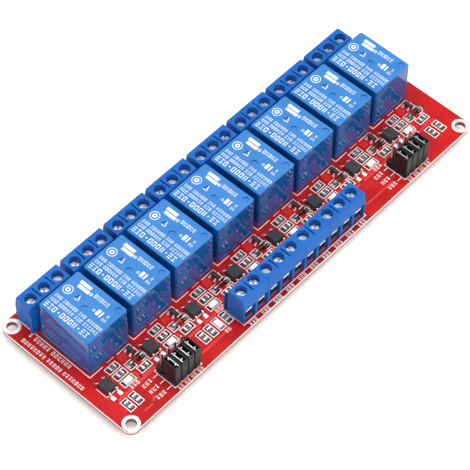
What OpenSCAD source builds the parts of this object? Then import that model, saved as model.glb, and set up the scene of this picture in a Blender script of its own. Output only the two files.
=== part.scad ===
// Eight-channel relay module board.
// Eight sealed relays stand in a row along the board. Behind each of them is a
// three-pole screw terminal for the switched wires. In front lies a strip of
// surface-mounted parts, then a ten-pole screw terminal for supply and signals
// between two blocks of jumpers.
// Frame: +X along the board, +Y towards the output terminals, +Z up. The origin
// is the centre of the four mounting holes on the board's underside.
// All lengths are in millimetres.

/* [Board] */
// Thickness of the board
board_t = 1.6; // [1.2:0.1:2.4]
// Radius of the board's corners
board_corner_r = 2.5; // [0.5:0.1:2.6]
// From the outer relay columns to the board's ends
end_margin = 13.2; // [12.6:0.1:20]
// Bare strip behind the output terminals
rear_margin = 1.3; // [0.6:0.1:6]
// Bare strip in front of the input terminals
front_margin = 1.7; // [0.6:0.1:6]
// Depth of the strip that carries the small parts
parts_strip = 11.6; // [11.4:0.1:20]
// Diameter of the mounting holes
mount_hole_d = 3.2; // [2.2:0.1:3.4]
// From the mounting holes to the board's ends
mount_inset_x = 2.7; // [2.4:0.1:3.2]
// From the mounting holes to the board's long edges
mount_inset_y = 2.5; // [2.3:0.1:3]

/* [Relay covers] */
// Width of a relay across the board's length
relay_w = 15.3; // [14.8:0.1:18]
// Length of a relay across the board's width
relay_l = 19; // [18.6:0.1:22]
// Height of a relay's top above the board
relay_h = 14.9; // [13.5:0.1:18]
// Gap between two relays, which sets how far apart the columns stand
relay_gap = 1.5; // [0.8:0.1:4]
// Gap between the relays and the output terminals
relay_back_gap = 1.2; // [0.6:0.1:4]
// Thickness of a cover's side walls
cover_wall = 0.75; // [0.5:0.05:0.8]
// Thickness of a cover's top
cover_top_t = 0.8; // [0.5:0.05:1]
// Lean of each side wall over its height
cover_draft = 0.2; // [0.05:0.05:0.3]
// Radius of a cover's upright corners
cover_corner_r = 0.7; // [0.3:0.1:1]
// Bevel round a cover's top
cover_bevel = 0.25; // [0.1:0.05:0.5]
// Diameter of the two dimples in a cover's top
dimple_d = 2; // [1:0.1:3]
// Depth of the dimples
dimple_depth = 0.3; // [0.1:0.05:0.4]

/* [Relay bases] */
// Height of the feet that a relay stands on
relay_standoff = 0.3; // [0.2:0.05:0.8]
// Thickness of a relay's base plate
base_t = 1.2; // [0.9:0.1:2]
// Clearance between a base plate and its cover
base_fit = 0.05; // [0.02:0.01:0.1]
// Height of the barrier between coil and contacts
barrier_h = 4.5; // [2:0.1:5]
// Thickness of that barrier
barrier_t = 0.6; // [0.4:0.1:0.9]

/* [Relay coil and yoke] */
// Step from the bobbin's flanges in to the winding
winding_step = 0.3; // [0.2:0.1:1]
// Gap between the bobbin and the yoke's leg
yoke_gap = 0.6; // [0.3:0.1:1]
// Gap between the bobbin and the barrier
barrier_gap = 0.7; // [0.4:0.1:1.5]
// Outer diameter of the bobbin's tube
bobbin_tube_d = 4.6; // [4.2:0.1:6]
// Thickness of the bobbin's flanges
flange_t = 0.7; // [0.5:0.1:1]
// Diameter of the core
core_d = 3.4; // [2.6:0.1:3.8]
// Diameter of the pole face
pole_d = 6.4; // [5:0.1:8]
// Thickness of the pole face
pole_t = 0.5; // [0.4:0.1:0.8]
// Thickness of the yoke's steel
yoke_t = 1; // [0.8:0.1:1.2]
// Step from the bobbin's flanges in to the yoke's edges
yoke_step = 0.6; // [0.3:0.1:1.5]

/* [Relay contacts] */
// Angle that the armature opens by
armature_open = 3; // [1:0.1:3.2]
// Thickness of the armature
armature_t = 1; // [0.8:0.1:1.2]
// Gap that stays at the pole when the armature is down
residual_gap = 0.1; // [0.05:0.05:0.2]
// Thickness of the contact spring
spring_t = 0.2; // [0.1:0.05:0.3]
// Width of the contact spring
spring_w = 3.6; // [2.4:0.1:4.4]
// Diameter of the moving contact
contact_d = 2.2; // [1.6:0.1:2.6]
// Clearance of the moving contact at both ends of its travel
contact_gap = 0.04; // [0.02:0.01:0.06]
// Thickness of the fixed contact strips
strip_t = 0.4; // [0.3:0.05:0.5]
// Width of the fixed contact strips
strip_w = 1; // [0.8:0.1:1.2]

/* [Screw terminals] */
// Distance between two poles
pole_pitch = 5.08; // [5:0.01:5.5]
// Height of a terminal block
terminal_h = 10.2; // [9.4:0.1:13]
// From the screws to the back of the foot
terminal_back = 3.9; // [3.6:0.1:5]
// From the screws to the wire face
terminal_front = 3.7; // [3.5:0.1:5]
// From the screws to the back of the top
top_back = 2.35; // [2.1:0.05:3]
// From the screws to the front of the top
top_front = 3.1; // [2.2:0.05:3.4]
// Width of a wire entry
wire_w = 3.9; // [3.4:0.1:3.9]
// Width of a wire entry's mouth, which is open down to the board
mouth_w = 4.3; // [4:0.1:4.4]
// Thickness of the floor under a wire entry
floor_t = 0.9; // [0.6:0.1:1.4]
// Thickness of the ledge under a screw head
ledge_t = 0.8; // [0.5:0.1:1.2]
// Diameter of a screw well
well_d = 3.4; // [3.3:0.1:4]
// Depth of the grooves between the poles
groove_depth = 0.8; // [0.3:0.1:1.5]
// Width of the grooves between the poles
groove_w = 0.35; // [0.2:0.05:0.6]
// Standing height of the dovetail on a block's end
dovetail_out = 0.8; // [0.5:0.1:1]
// Clearance of a dovetail in its groove
dovetail_fit = 0.08; // [0.05:0.01:0.15]

/* [Terminal screws and clamps] */
// Diameter of a screw head
head_d = 3.1; // [2.9:0.1:3.2]
// Thickness of a screw head
head_h = 1.3; // [1:0.1:1.6]
// Depth of a screw head below the block's top
head_drop = 2; // [0.5:0.1:2.4]
// Diameter of a screw's shank
shank_d = 2.5; // [2:0.1:2.6]
// Length of a screw's shank
shank_l = 2.2; // [2.1:0.1:2.8]
// Width of the slot in a screw head
slot_w = 0.6; // [0.4:0.1:0.8]
// Depth of the slot in a screw head
slot_depth = 0.7; // [0.4:0.1:0.9]
// Thickness of the clamp cage
cage_t = 0.4; // [0.3:0.05:0.5]
// Clearance round the clamp cage
cage_fit = 0.1; // [0.05:0.05:0.15]
// Width of the contact tongue
tongue_w = 2.4; // [1.8:0.1:2.4]
// Thickness of the contact tongue
tongue_t = 0.6; // [0.4:0.1:0.8]
// Width of a terminal's solder pin
terminal_pin_w = 1; // [0.8:0.1:1.1]

/* [Jumpers] */
// Distance between two header pins
header_pitch = 2.54; // [2.5:0.01:2.8]
// Height of the header's plastic base
header_base_h = 2.5; // [2:0.1:3.5]
// Thickness of a square header pin
header_pin_w = 0.64; // [0.5:0.02:0.7]
// Height of the header pins above their base
header_pin_h = 6; // [5:0.1:8]
// Height of a jumper cap
cap_h = 5.9; // [4.5:0.1:7]
// Width of a jumper cap
cap_w = 2.3; // [2.1:0.05:2.4]
// Length of a jumper cap over its two pins
cap_l = 5; // [4.6:0.1:5.04]
// Wall of a jumper cap
cap_wall = 0.4; // [0.3:0.05:0.4]
// Gap between a seated cap and the header base
cap_seat_gap = 0.1; // [0.05:0.05:0.3]
// Thickness of the clip inside a cap
clip_t = 0.22; // [0.15:0.01:0.25]
// Running clearance between clip and pins
clip_fit = 0.03; // [0.02:0.01:0.05]
// From a cap's top to the groove under its rim
rim_h = 1.2; // [0.8:0.1:2]
// Width of that groove, twice its depth
rim_groove = 0.25; // [0.15:0.05:0.3]

/* [Small parts] */
// Length of an optocoupler's body
opto_l = 4; // [3.8:0.1:4.6]
// Width of an optocoupler's body
opto_w = 3.7; // [3.4:0.1:4.4]
// Height of an optocoupler's body
opto_h = 1.8; // [1.6:0.1:2.6]
// Span over an optocoupler's leads
opto_span = 7; // [6.6:0.1:7.2]
// Length of a chip resistor
chip_l = 2; // [1.6:0.1:2.4]
// Width of a chip resistor
chip_w = 1.25; // [0.8:0.05:1.5]
// Height of a chip resistor
chip_h = 0.5; // [0.35:0.05:0.8]
// Length of an indicator light
led_l = 3; // [2:0.1:3.2]
// Width of an indicator light
led_w = 1.5; // [1:0.1:1.7]
// Height of an indicator light
led_h = 0.9; // [0.6:0.1:1.2]
// Length of a diode
diode_l = 4.9; // [3.4:0.1:5.2]
// Diameter of a diode's end caps
diode_d = 2; // [1.4:0.1:2.2]
// Length of a transistor's body
transistor_l = 2.9; // [2.6:0.1:3.1]
// Width of a transistor's body
transistor_w = 1.3; // [1.1:0.1:1.5]
// Height of a transistor's body
transistor_h = 1; // [0.8:0.1:1.2]

/* [Leads and solder] */
// Reach of the terminal pins below the board, which the board rests on
terminal_lead = 2; // [1.9:0.1:3]
// Reach of the relay pins below the board
relay_lead = 1.8; // [1.4:0.1:1.8]
// Reach of the header pins below the board
header_lead = 1.6; // [1.2:0.1:1.8]
// Height of a solder fillet under the board
fillet_h = 1; // [0.6:0.1:1.1]
// Width of a solder fillet's rim round its hole
fillet_rim = 0.45; // [0.25:0.05:0.55]

/* [Hidden] */
relay_count = 8;
block_poles = 3;
input_blocks = [2, 3, 2, 3];
jumper_columns = 4;
jumper_rows = 3;
$fn = 48;
eps = 0.01;

// Layout along the board
out_block_w = block_poles * pole_pitch;
column_pitch = relay_w + relay_gap;
board_l = (relay_count - 1) * column_pitch + 2 * end_margin;
relay_dx = 0.45;
input_poles = input_blocks[0] + input_blocks[1] + input_blocks[2] + input_blocks[3];
input_dx = -0.5;
input_left = input_dx - input_poles * pole_pitch / 2;
header_inset = 23.9;

// Layout across the board
terminal_depth = terminal_back + terminal_front;
board_w = rear_margin + terminal_depth + relay_back_gap + relay_l
        + parts_strip + terminal_depth + front_margin;
out_y = board_w / 2 - rear_margin - terminal_front;
relay_y = out_y - terminal_back - relay_back_gap - relay_l / 2;
strip_y = relay_y - relay_l / 2;
input_back_y = strip_y - parts_strip;
input_y = input_back_y - terminal_back;

// Relay plan, from the relay's centre
hinge_y = -relay_l / 2 + 2;
yoke_back = hinge_y - yoke_t / 2;
pin_x = relay_w / 2 - 1.65;
common_pin_y = -relay_l / 2 + 2.4;
coil_pin_y = common_pin_y + 2;
contact_pin_y = relay_l / 2 - 2.4;
contact_y = contact_pin_y - 0.5;
barrier_y = contact_pin_y - 2.1;
// The coil fills the room between the yoke's leg and the barrier
flange_w = barrier_y - barrier_t / 2 - barrier_gap - (hinge_y + yoke_t / 2 + yoke_gap);
coil_y = hinge_y + yoke_t / 2 + yoke_gap + flange_w / 2;
winding_d = flange_w - 2 * winding_step;
yoke_w = flange_w - 2 * yoke_step;
strip_pin = [strip_w, strip_t];
common_pin = [1, 0.5];
coil_pin = [0.6, 0.6];
// From the hinge line to the far rim of the moving contact
lever = contact_y - hinge_y + contact_d / 2;

// Relay heights, above the board
base_top = relay_standoff + base_t;
foot_top = base_top + yoke_t;
coil_bottom = foot_top + flange_t;
fixed_contact_t = 0.3;
roof_gap = 0.3;
button_h = 1.1;
button_sink = 0.5;
// What the armature, contacts and roof need above the hinge line
mechanism_h = residual_gap + button_sink + button_h + lever * sin(armature_open)
            + contact_gap + fixed_contact_t + strip_t + roof_gap + cover_top_t;
hinge_z = relay_h - mechanism_h;
pole_top = hinge_z;
coil_top = pole_top - pole_t - flange_t;

// Terminal heights, above the board
head_seat = terminal_h - head_drop - head_h;
wire_top = head_seat - ledge_t;
brow_rise = 0.2;
brow_z = wire_top + brow_rise;
tongue_top = head_seat - shank_l;
pocket_back = 2.2;
tongue_recess = 0.5;
tongue_front = terminal_front - tongue_recess;
cage_front = tongue_front - cage_t;
lead_gap = 0.1;
lead_y = -pocket_back + tongue_t / 2 + lead_gap;
// From a groove's ends to the edges of the top
groove_end = 0.8;
// The dovetail: its root's width, how much wider its rim is, its place
dovetail_w = 0.8;
dovetail_flare = 0.15;
dovetail_y = 0.85 - terminal_back;

// Small parts: places along the board from a column's centre, and across it
// from the relays' front
opto_at = [0.8 - relay_w / 2, -6];
resistor_at = [[-1.5, -2.7], [-1.5, -5.65], [relay_w / 2 - 2.75, -8.6]];
led_at = [-1.45, -8.55];
transistor_at = [relay_w / 2 - 1.85, -2.45];
diode_at = [relay_w / 2 - 3.15, -5.55];
opto_lead_pitch = 2.54;
// Upright chips: the pairs at the board's ends and the group by the input block
end_pair_left = [6.3, 9.3];
end_pair_right = [6.95, 10.2];
side_chip_gap = 2.25;
side_chip_y = input_back_y - side_chip_gap;
supply_step = 2.97;
supply_first = 1.6;

// ---- places ----

function column_x(i) = (i - (relay_count - 1) / 2) * column_pitch;
function relay_x(i) = column_x(i) + relay_dx;
// Number of poles before input block k
function poles_before(k) = k == 0 ? 0 : input_blocks[k - 1] + poles_before(k - 1);
function input_block_x(k) =
    input_left + (poles_before(k) + input_blocks[k] / 2) * pole_pitch;
// Middle of the left header, then of the right one
function header_x(side) = (side == 0 ? -1 : 1) * (board_l / 2 - header_inset);
function cap_x(n) =
    header_x(floor(n / jumper_columns))
    + (n % jumper_columns - (jumper_columns - 1) / 2) * header_pitch;
function row_y(r) = input_y + (r - (jumper_rows - 1) / 2) * header_pitch;

// Every screw: [x, y, direction of the wire side]
screw_sites = concat(
    [for (i = [0:relay_count - 1], p = [0:block_poles - 1])
        [column_x(i) + (p - (block_poles - 1) / 2) * pole_pitch, out_y, 1]],
    [for (p = [0:input_poles - 1])
        [input_left + (p + 0.5) * pole_pitch, input_y, -1]]
);
header_sites = [for (n = [0:2 * jumper_columns - 1], r = [0:jumper_rows - 1])
    [cap_x(n), row_y(r)]];
// A relay's pins: [x, y, pin section] from the relay's centre
relay_pins = [
    [0, common_pin_y, common_pin],
    [-pin_x, coil_pin_y, coil_pin],
    [pin_x, coil_pin_y, coil_pin],
    [-pin_x, contact_pin_y, strip_pin],
    [pin_x, contact_pin_y, strip_pin]
];
// Every lead through the board: [x, y, section along x, section along y]
lead_sites = concat(
    [for (i = [0:relay_count - 1], p = relay_pins)
        [relay_x(i) + p[0], relay_y + p[1], p[2][0], p[2][1]]],
    [for (s = screw_sites) [s[0], s[1] + s[2] * lead_y, terminal_pin_w, tongue_t]],
    [for (s = header_sites) [s[0], s[1], header_pin_w, header_pin_w]]
);
function hole_r(s) = norm([s[2], s[3]]) / 2 + 0.08;

// ---- shared shapes ----

// A rectangle with round corners, centred
module round_rect(size, r) {
    square([size[0] - 2 * r, size[1]], center = true);
    square([size[0], size[1] - 2 * r], center = true);
    for (sx = [-1, 1], sy = [-1, 1])
        translate([sx * (size[0] / 2 - r), sy * (size[1] / 2 - r)]) circle(r);
}

// A profile drawn in (y, z), drawn out along X and centred on it
module along_x(width) {
    translate([-width / 2, 0, 0]) rotate([90, 0, 90]) linear_extrude(width) children();
}

// A box given by its low and high corners
module span(low, high) {
    translate(low) cube(high - low);
}

// A profile drawn in (x, z), drawn out along Y and centred on it
module along_y(width) {
    rotate([0, 0, -90]) along_x(width) children();
}

// Side view of a moulded body, widest at its parting line
module moulded_profile(width, height, lean) {
    polygon([[-width / 2 + lean, 0], [width / 2 - lean, 0], [width / 2, height / 2],
             [width / 2 - lean, height], [-width / 2 + lean, height], [-width / 2, height / 2]]);
}

// A moulded body that leans in from its parting line to its top and bottom
module moulded_body(size, lean) {
    intersection() {
        along_x(size[0]) moulded_profile(size[1], size[2], lean);
        along_y(size[1]) moulded_profile(size[0], size[2], lean);
    }
}

// ---- the board ----

module circuit_board() {
    color([0.78, 0.1, 0.12])
        linear_extrude(board_t) difference() {
            round_rect([board_l, board_w], board_corner_r);
            for (sx = [-1, 1], sy = [-1, 1])
                translate([sx * (board_l / 2 - mount_inset_x), sy * (board_w / 2 - mount_inset_y)])
                    circle(d = mount_hole_d);
            for (s = lead_sites) translate([s[0], s[1]]) circle(hole_r(s));
        }
}

module solder_joints() {
    color([0.75, 0.76, 0.78])
        for (s = lead_sites) translate([s[0], s[1], 0]) difference() {
            union() {
                cylinder(h = board_t, r = hole_r(s));
                translate([0, 0, -fillet_h])
                    cylinder(h = fillet_h, r1 = hole_r(s), r2 = hole_r(s) + fillet_rim);
            }
            translate([0, 0, -fillet_h])
                linear_extrude(fillet_h + board_t) square([s[2], s[3]], center = true);
        }
}

// ---- relays, each drawn about its own centre on the board's top ----

module at_relay(i) {
    translate([relay_x(i), relay_y, board_t]) children();
}

// A cover's outer form shrunk by "inset", from height "low" to height "top"
module cover_form(inset, low, top) {
    lean = cover_draft * (top - low) / (relay_h - relay_standoff);
    r = max(cover_corner_r - inset, 0.2);
    foot = [relay_w - 2 * inset, relay_l - 2 * inset];
    shoulder = foot - 2 * [lean, lean];
    crown = shoulder - 2 * [cover_bevel, cover_bevel];
    hull() {
        translate([0, 0, low]) linear_extrude(eps) round_rect(foot, r, $fn = 24);
        translate([0, 0, top - cover_bevel]) linear_extrude(eps) round_rect(shoulder, r, $fn = 24);
        translate([0, 0, top - eps]) linear_extrude(eps) round_rect(crown, r, $fn = 24);
    }
}

module relay_cover(i) {
    color([0.1, 0.3, 0.75, 0.6]) at_relay(i) difference() {
        cover_form(0, relay_standoff, relay_h);
        cover_form(cover_wall, 0, relay_h - cover_top_t);
        for (place = [[0, -0.6], [relay_w / 2 - 2.1, -relay_l / 2 + 1.9]])
            translate([place[0], place[1], relay_h - dimple_depth]) cylinder(h = 1, d = dimple_d);
    }
}

module relay_base(i) {
    inner = [relay_w, relay_l] - 2 * (cover_wall + base_fit + cover_draft) * [1, 1];
    color([0.07, 0.1, 0.25]) at_relay(i) difference() {
        union() {
            translate([0, 0, relay_standoff]) linear_extrude(base_t) round_rect(inner, 0.3);
            for (sx = [-1, 1], sy = [-1, 1])
                translate([sx * (inner[0] / 2 - 1), sy * (inner[1] / 2 - 1), 0])
                    cylinder(h = relay_standoff, r = 0.7);
            translate([0, barrier_y, base_top + barrier_h / 2])
                cube([inner[0] - 1.2, barrier_t, barrier_h], center = true);
        }
        for (p = relay_pins) translate([p[0], p[1], 0])
            linear_extrude(base_top) square(p[2], center = true);
    }
}

// Steel yoke with its core, and the leaf spring riveted to its back
module relay_yoke() {
    leg_top = hinge_z - 0.05;
    leg_h = leg_top - base_top;
    leaf_t = 0.25;
    translate([0, yoke_back, base_top]) linear_extrude(yoke_t)
        polygon([[-yoke_w / 2, 0], [yoke_w / 2, 0], [yoke_w / 2, flange_w * 0.7],
                 [yoke_w / 4, flange_w], [-yoke_w / 4, flange_w], [-yoke_w / 2, flange_w * 0.7]]);
    span([-yoke_w / 2, yoke_back, base_top], [yoke_w / 2, yoke_back + yoke_t, leg_top]);
    span([-spring_w / 2, yoke_back - leaf_t, base_top + 3], [spring_w / 2, yoke_back, leg_top - 0.4]);
    for (share = [0.45, 0.7])
        translate([0, yoke_back, base_top + share * leg_h]) rotate([90, 0, 0]) cylinder(h = leaf_t + 0.15, r = 0.55);
    translate([0, coil_y, foot_top - eps]) cylinder(h = pole_top - foot_top + eps, d = core_d);
    translate([0, coil_y, pole_top - pole_t]) cylinder(h = pole_t, d = pole_d);
}

module relay_yokes() {
    color([0.72, 0.72, 0.74]) for (i = [0:relay_count - 1]) at_relay(i) relay_yoke();
}

module relay_bobbin() {
    lug = 1.2;
    difference() {
        union() {
            for (z = [foot_top, coil_top])
                translate([0, coil_y, z]) linear_extrude(flange_t) round_rect([flange_w, flange_w], 0.8);
            translate([0, coil_y, foot_top])
                cylinder(h = coil_top - foot_top + flange_t, d = bobbin_tube_d);
            for (side = [0, 1]) mirror([side, 0, 0])
                span([flange_w / 2 - 1, coil_pin_y - lug / 2, foot_top],
                     [pin_x + lug / 2, coil_pin_y + lug / 2, foot_top + flange_t]);
        }
        translate([0, coil_y, 0]) cylinder(h = relay_h, d = core_d);
        for (sx = [-1, 1]) translate([sx * pin_x, coil_pin_y, 0])
            linear_extrude(relay_h / 2) square(coil_pin, center = true);
    }
}

module relay_bobbins() {
    color([0.9, 0.9, 0.86]) for (i = [0:relay_count - 1]) at_relay(i) relay_bobbin();
}

module relay_windings() {
    color([0.7, 0.25, 0.1]) for (i = [0:relay_count - 1]) at_relay(i)
        translate([0, coil_y, coil_bottom]) difference() {
            cylinder(h = coil_top - coil_bottom, d = winding_d);
            translate([0, 0, -1]) cylinder(h = relay_h, d = bobbin_tube_d);
        }
}

// Armature and contact spring in their lowered place, on the hinge line's frame
module armature_lowered() {
    tip_y = coil_y + pole_d / 2 + 1.2 - hinge_y;
    reach = contact_y - hinge_y;
    heel = -0.7;
    translate([0, 0, residual_gap]) linear_extrude(armature_t)
        polygon([[-yoke_w / 2, heel], [yoke_w / 2, heel], [yoke_w / 2, tip_y * 0.7],
                 [yoke_w / 3.4, tip_y], [-yoke_w / 3.4, tip_y], [-yoke_w / 2, tip_y * 0.7]]);
    translate([0, 0, residual_gap + armature_t]) linear_extrude(spring_t) {
        translate([-spring_w / 2, 0.5]) square([spring_w, reach - 0.5 - contact_d / 2]);
        hull() {
            translate([-spring_w / 2, reach - contact_d / 2 - 0.1]) square([spring_w, 0.1]);
            translate([0, reach]) circle(contact_d / 2 + 0.2, $fn = 32);
        }
    }
    translate([0, reach, residual_gap + button_sink]) cylinder(h = button_h, d = contact_d);
    for (share = [0.22, 0.5])
        translate([0, share * tip_y, residual_gap + armature_t]) cylinder(h = spring_t + 0.2, r = 0.6);
}

module relay_armature(i) {
    color([0.8, 0.65, 0.45]) at_relay(i)
        translate([0, hinge_y, hinge_z]) rotate([armature_open, 0, 0]) armature_lowered();
}

// One fixed contact: pin, upright strip, arm over to the middle and contact disc
module fixed_contact(side, arm_z, disc_z) {
    pin_bottom = -board_t - relay_lead;
    translate([side * pin_x, contact_pin_y, pin_bottom])
        linear_extrude(arm_z + strip_t - pin_bottom) square(strip_pin, center = true);
    arm_l = pin_x + strip_w / 2 + contact_d / 2;
    translate([side * (pin_x + strip_w / 2 - arm_l / 2), contact_y, arm_z + strip_t / 2])
        cube([arm_l, contact_d, strip_t], center = true);
    translate([0, contact_y, min(disc_z, arm_z)])
        cylinder(h = max(disc_z, arm_z) - min(disc_z, arm_z) + fixed_contact_t, d = contact_d);
}

module relay_contacts() {
    pin_bottom = -board_t - relay_lead;
    // Lowest point of the moving contact when down, highest when open
    rest_low = hinge_z + residual_gap + button_sink - contact_gap;
    open_high = hinge_z + lever * sin(armature_open)
        + (residual_gap + button_sink + button_h) * cos(armature_open) + contact_gap;
    color([0.82, 0.78, 0.7]) for (i = [0:relay_count - 1]) at_relay(i) {
        fixed_contact(-1, rest_low - fixed_contact_t - strip_t, rest_low - fixed_contact_t);
        fixed_contact(1, open_high + fixed_contact_t, open_high);
        translate([0, common_pin_y, pin_bottom])
            linear_extrude(base_top - pin_bottom) square(common_pin, center = true);
        for (sx = [-1, 1]) translate([sx * pin_x, coil_pin_y, pin_bottom])
            linear_extrude(coil_bottom + 1.2 - pin_bottom) square(coil_pin, center = true);
    }
}

// ---- screw terminals, drawn about the middle screw line, wires towards +Y ----

// Side profile of a block
module terminal_profile() {
    polygon([[-terminal_back, 0], [-terminal_back, brow_z + 0.1], [-top_back, terminal_h],
             [top_front, terminal_h], [terminal_front, brow_z], [terminal_front - 0.2, 0]]);
}

// Plan of the dovetail, standing out of the plane x = 0 towards -X
module dovetail_plan(grow) {
    root = dovetail_w / 2 + grow;
    rim = root + dovetail_flare;
    polygon([[dovetail_fit, -root], [0, -root], [-dovetail_out - grow, -rim],
             [-dovetail_out - grow, rim], [0, root], [dovetail_fit, root]]);
}

module terminal_block(poles) {
    width = poles * pole_pitch;
    difference() {
        union() {
            along_x(width) terminal_profile();
            intersection() {
                along_x(width + 4 * dovetail_out) terminal_profile();
                translate([-width / 2, dovetail_y, 0])
                    linear_extrude(terminal_h) dovetail_plan(0);
            }
        }
        translate([width / 2, dovetail_y, -1])
            linear_extrude(terminal_h + 2) dovetail_plan(dovetail_fit);
        for (p = [0:poles - 1]) translate([(p - (poles - 1) / 2) * pole_pitch, 0, 0]) {
            translate([0, 0, head_seat]) cylinder(h = terminal_h, d = well_d);
            translate([0, 0, floor_t]) cylinder(h = terminal_h, d = shank_d + 0.2);
            span([-wire_w / 2, -pocket_back, floor_t], [wire_w / 2, terminal_front + 1, wire_top]);
            span([-mouth_w / 2, cage_front + cage_fit, -1],
                 [mouth_w / 2, terminal_front + 1, wire_top]);
            translate([0, lead_y, -1]) linear_extrude(floor_t + 2)
                square([tongue_w, tongue_t], center = true);
        }
        for (p = [1:poles - 1])
            translate([(p - poles / 2) * pole_pitch, 0, 0])
                span([-groove_w / 2, groove_end - top_back, terminal_h - groove_depth],
                     [groove_w / 2, top_front - groove_end, terminal_h + 1]);
    }
}

module output_terminal(i) {
    color([0.1, 0.4, 0.9]) translate([column_x(i), out_y, board_t]) terminal_block(block_poles);
}

module input_terminal(k) {
    color([0.1, 0.4, 0.9]) translate([input_block_x(k), input_y, board_t])
        rotate([0, 0, 180]) terminal_block(input_blocks[k]);
}

// Puts its children at every screw, turned so that +Y is the wire side
module at_screws() {
    for (n = [0:len(screw_sites) - 1])
        translate([screw_sites[n][0], screw_sites[n][1], board_t])
            rotate([0, 0, screw_sites[n][2] > 0 ? 0 : 180]) {
                $screw_turn = n * 67;
                children();
            }
}

module terminal_screws() {
    color([0.8, 0.81, 0.83]) at_screws() difference() {
        union() {
            translate([0, 0, head_seat - shank_l]) cylinder(h = shank_l + eps, d = shank_d);
            translate([0, 0, head_seat]) cylinder(h = head_h - 0.3, d = head_d);
            translate([0, 0, head_seat + head_h - 0.3])
                cylinder(h = 0.3, d1 = head_d, d2 = head_d - 0.5);
        }
        translate([0, 0, head_seat + head_h]) rotate([0, 0, $screw_turn])
            cube([2 * head_d, slot_w, 2 * slot_depth], center = true);
    }
}

// The cage that the screw lifts: a square tube round the tongue
module terminal_clamps() {
    cage_w = wire_w - 2 * cage_fit;
    cage_bottom = floor_t + 0.05;
    bar_bottom = tongue_top + 0.05;
    bar_top = bar_bottom + 1.5 * cage_t;
    cage_back = lead_y + tongue_t / 2 + 0.2;
    color([0.7, 0.7, 0.68]) at_screws() difference() {
        span([-cage_w / 2, cage_back, cage_bottom], [cage_w / 2, cage_front, bar_top]);
        span([-cage_w / 2 + cage_t, cage_back - 1, cage_bottom + cage_t],
             [cage_w / 2 - cage_t, cage_front + 1, bar_bottom]);
        cylinder(h = terminal_h, d = shank_d);
    }
}

// Solder pin, upright and tongue, bent from one strip
module terminal_pins() {
    back = lead_y - tongue_t / 2;
    low = -board_t - terminal_lead;
    color([0.85, 0.86, 0.86]) at_screws() {
        along_x(tongue_w) polygon([
            [back, 0], [back + tongue_t, 0], [back + tongue_t, tongue_top - tongue_t],
            [tongue_front, tongue_top - tongue_t], [tongue_front, tongue_top], [back, tongue_top]]);
        along_x(terminal_pin_w) polygon([
            [back, 0.3], [back, low + 0.3], [back + 0.15, low],
            [back + tongue_t - 0.15, low], [back + tongue_t, low + 0.3], [back + tongue_t, 0.3]]);
    }
}

// ---- jumpers ----

module jumper_headers() {
    corner = 0.45;
    half = header_pitch / 2;
    color([0.07, 0.07, 0.08]) translate([0, 0, board_t]) linear_extrude(header_base_h)
        difference() {
            for (s = header_sites) translate(s) polygon([
                [-half, -half + corner], [-half + corner, -half], [half - corner, -half],
                [half, -half + corner], [half, half - corner], [half - corner, half],
                [-half + corner, half], [-half, half - corner]]);
            for (s = header_sites) translate(s) square(header_pin_w, center = true);
        }
}

// Side view of a header pin, pointed at both ends
module pin_profile() {
    low = -header_lead;
    high = board_t + header_base_h + header_pin_h;
    w = header_pin_w / 2;
    tip = 0.4;
    polygon([[-w, low + tip], [-w / 2, low], [w / 2, low], [w, low + tip],
             [w, high - tip], [w / 2, high], [-w / 2, high], [-w, high - tip]]);
}

module header_pins() {
    color([0.85, 0.75, 0.45]) for (s = header_sites) translate(s) intersection() {
        along_x(header_pin_w) pin_profile();
        along_y(header_pin_w) pin_profile();
    }
}

// A cap over the front and middle pins of its column, with its spring clip.
// The first cap is fitted the other way round.
module jumper_cap(n) {
    hollow = [cap_w - 2 * cap_wall, cap_l - 2 * cap_wall];
    clip_x = -header_pin_w / 2 - clip_fit - clip_t;
    bottom = board_t + header_base_h + cap_seat_gap;
    translate([cap_x(n), (row_y(0) + row_y(1)) / 2, bottom]) rotate([0, 0, n == 0 ? 180 : 0]) {
        color([0.06, 0.06, 0.07]) difference() {
            linear_extrude(cap_h) difference() {
                round_rect([cap_w, cap_l], 0.35);
                square(hollow, center = true);
            }
            translate([0, 0, cap_h - rim_h]) linear_extrude(rim_groove) difference() {
                square(2 * cap_l, center = true);
                round_rect([cap_w - rim_groove, cap_l - rim_groove], 0.3);
            }
        }
        color([0.85, 0.75, 0.45]) translate([clip_x, -hollow[1] / 2 + clip_fit, 0.4])
            cube([clip_t, hollow[1] - 2 * clip_fit, cap_h - 0.6]);
    }
}

// ---- small parts ----

// Puts its children at a place given from every column's centre
module at_columns(place) {
    for (i = [0:relay_count - 1])
        translate([column_x(i) + place[0], strip_y + place[1], board_t]) children();
}

// A gull-wing lead towards -Y, from the body's face to its foot
module gull_lead(width, start, reach, high, t) {
    rotate([0, 0, 180]) along_x(width) polygon([
        [start, high - t], [start + 0.35, high - t], [reach - 0.7, 0], [reach, 0], [reach, t],
        [reach - 0.55, t], [start + 0.5, high], [start, high]]);
}

module optocouplers() {
    color([0.2, 0.2, 0.21]) at_columns(opto_at) difference() {
        translate([0, 0, 0.1]) moulded_body([opto_w, opto_l, opto_h], 0.15);
        translate([-opto_w / 2 + 0.9, -opto_l / 2 + 0.9, opto_h]) cylinder(h = 1, r = 0.35);
    }
    color([0.8, 0.81, 0.82]) at_columns(opto_at)
        for (sx = [-1, 1], turn = [0, 180])
            translate([sx * opto_lead_pitch / 2, 0, 0]) rotate([0, 0, turn])
                gull_lead(0.4, opto_l / 2, opto_span / 2, opto_h / 2 + 0.1 + 0.1, 0.2);
}

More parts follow.
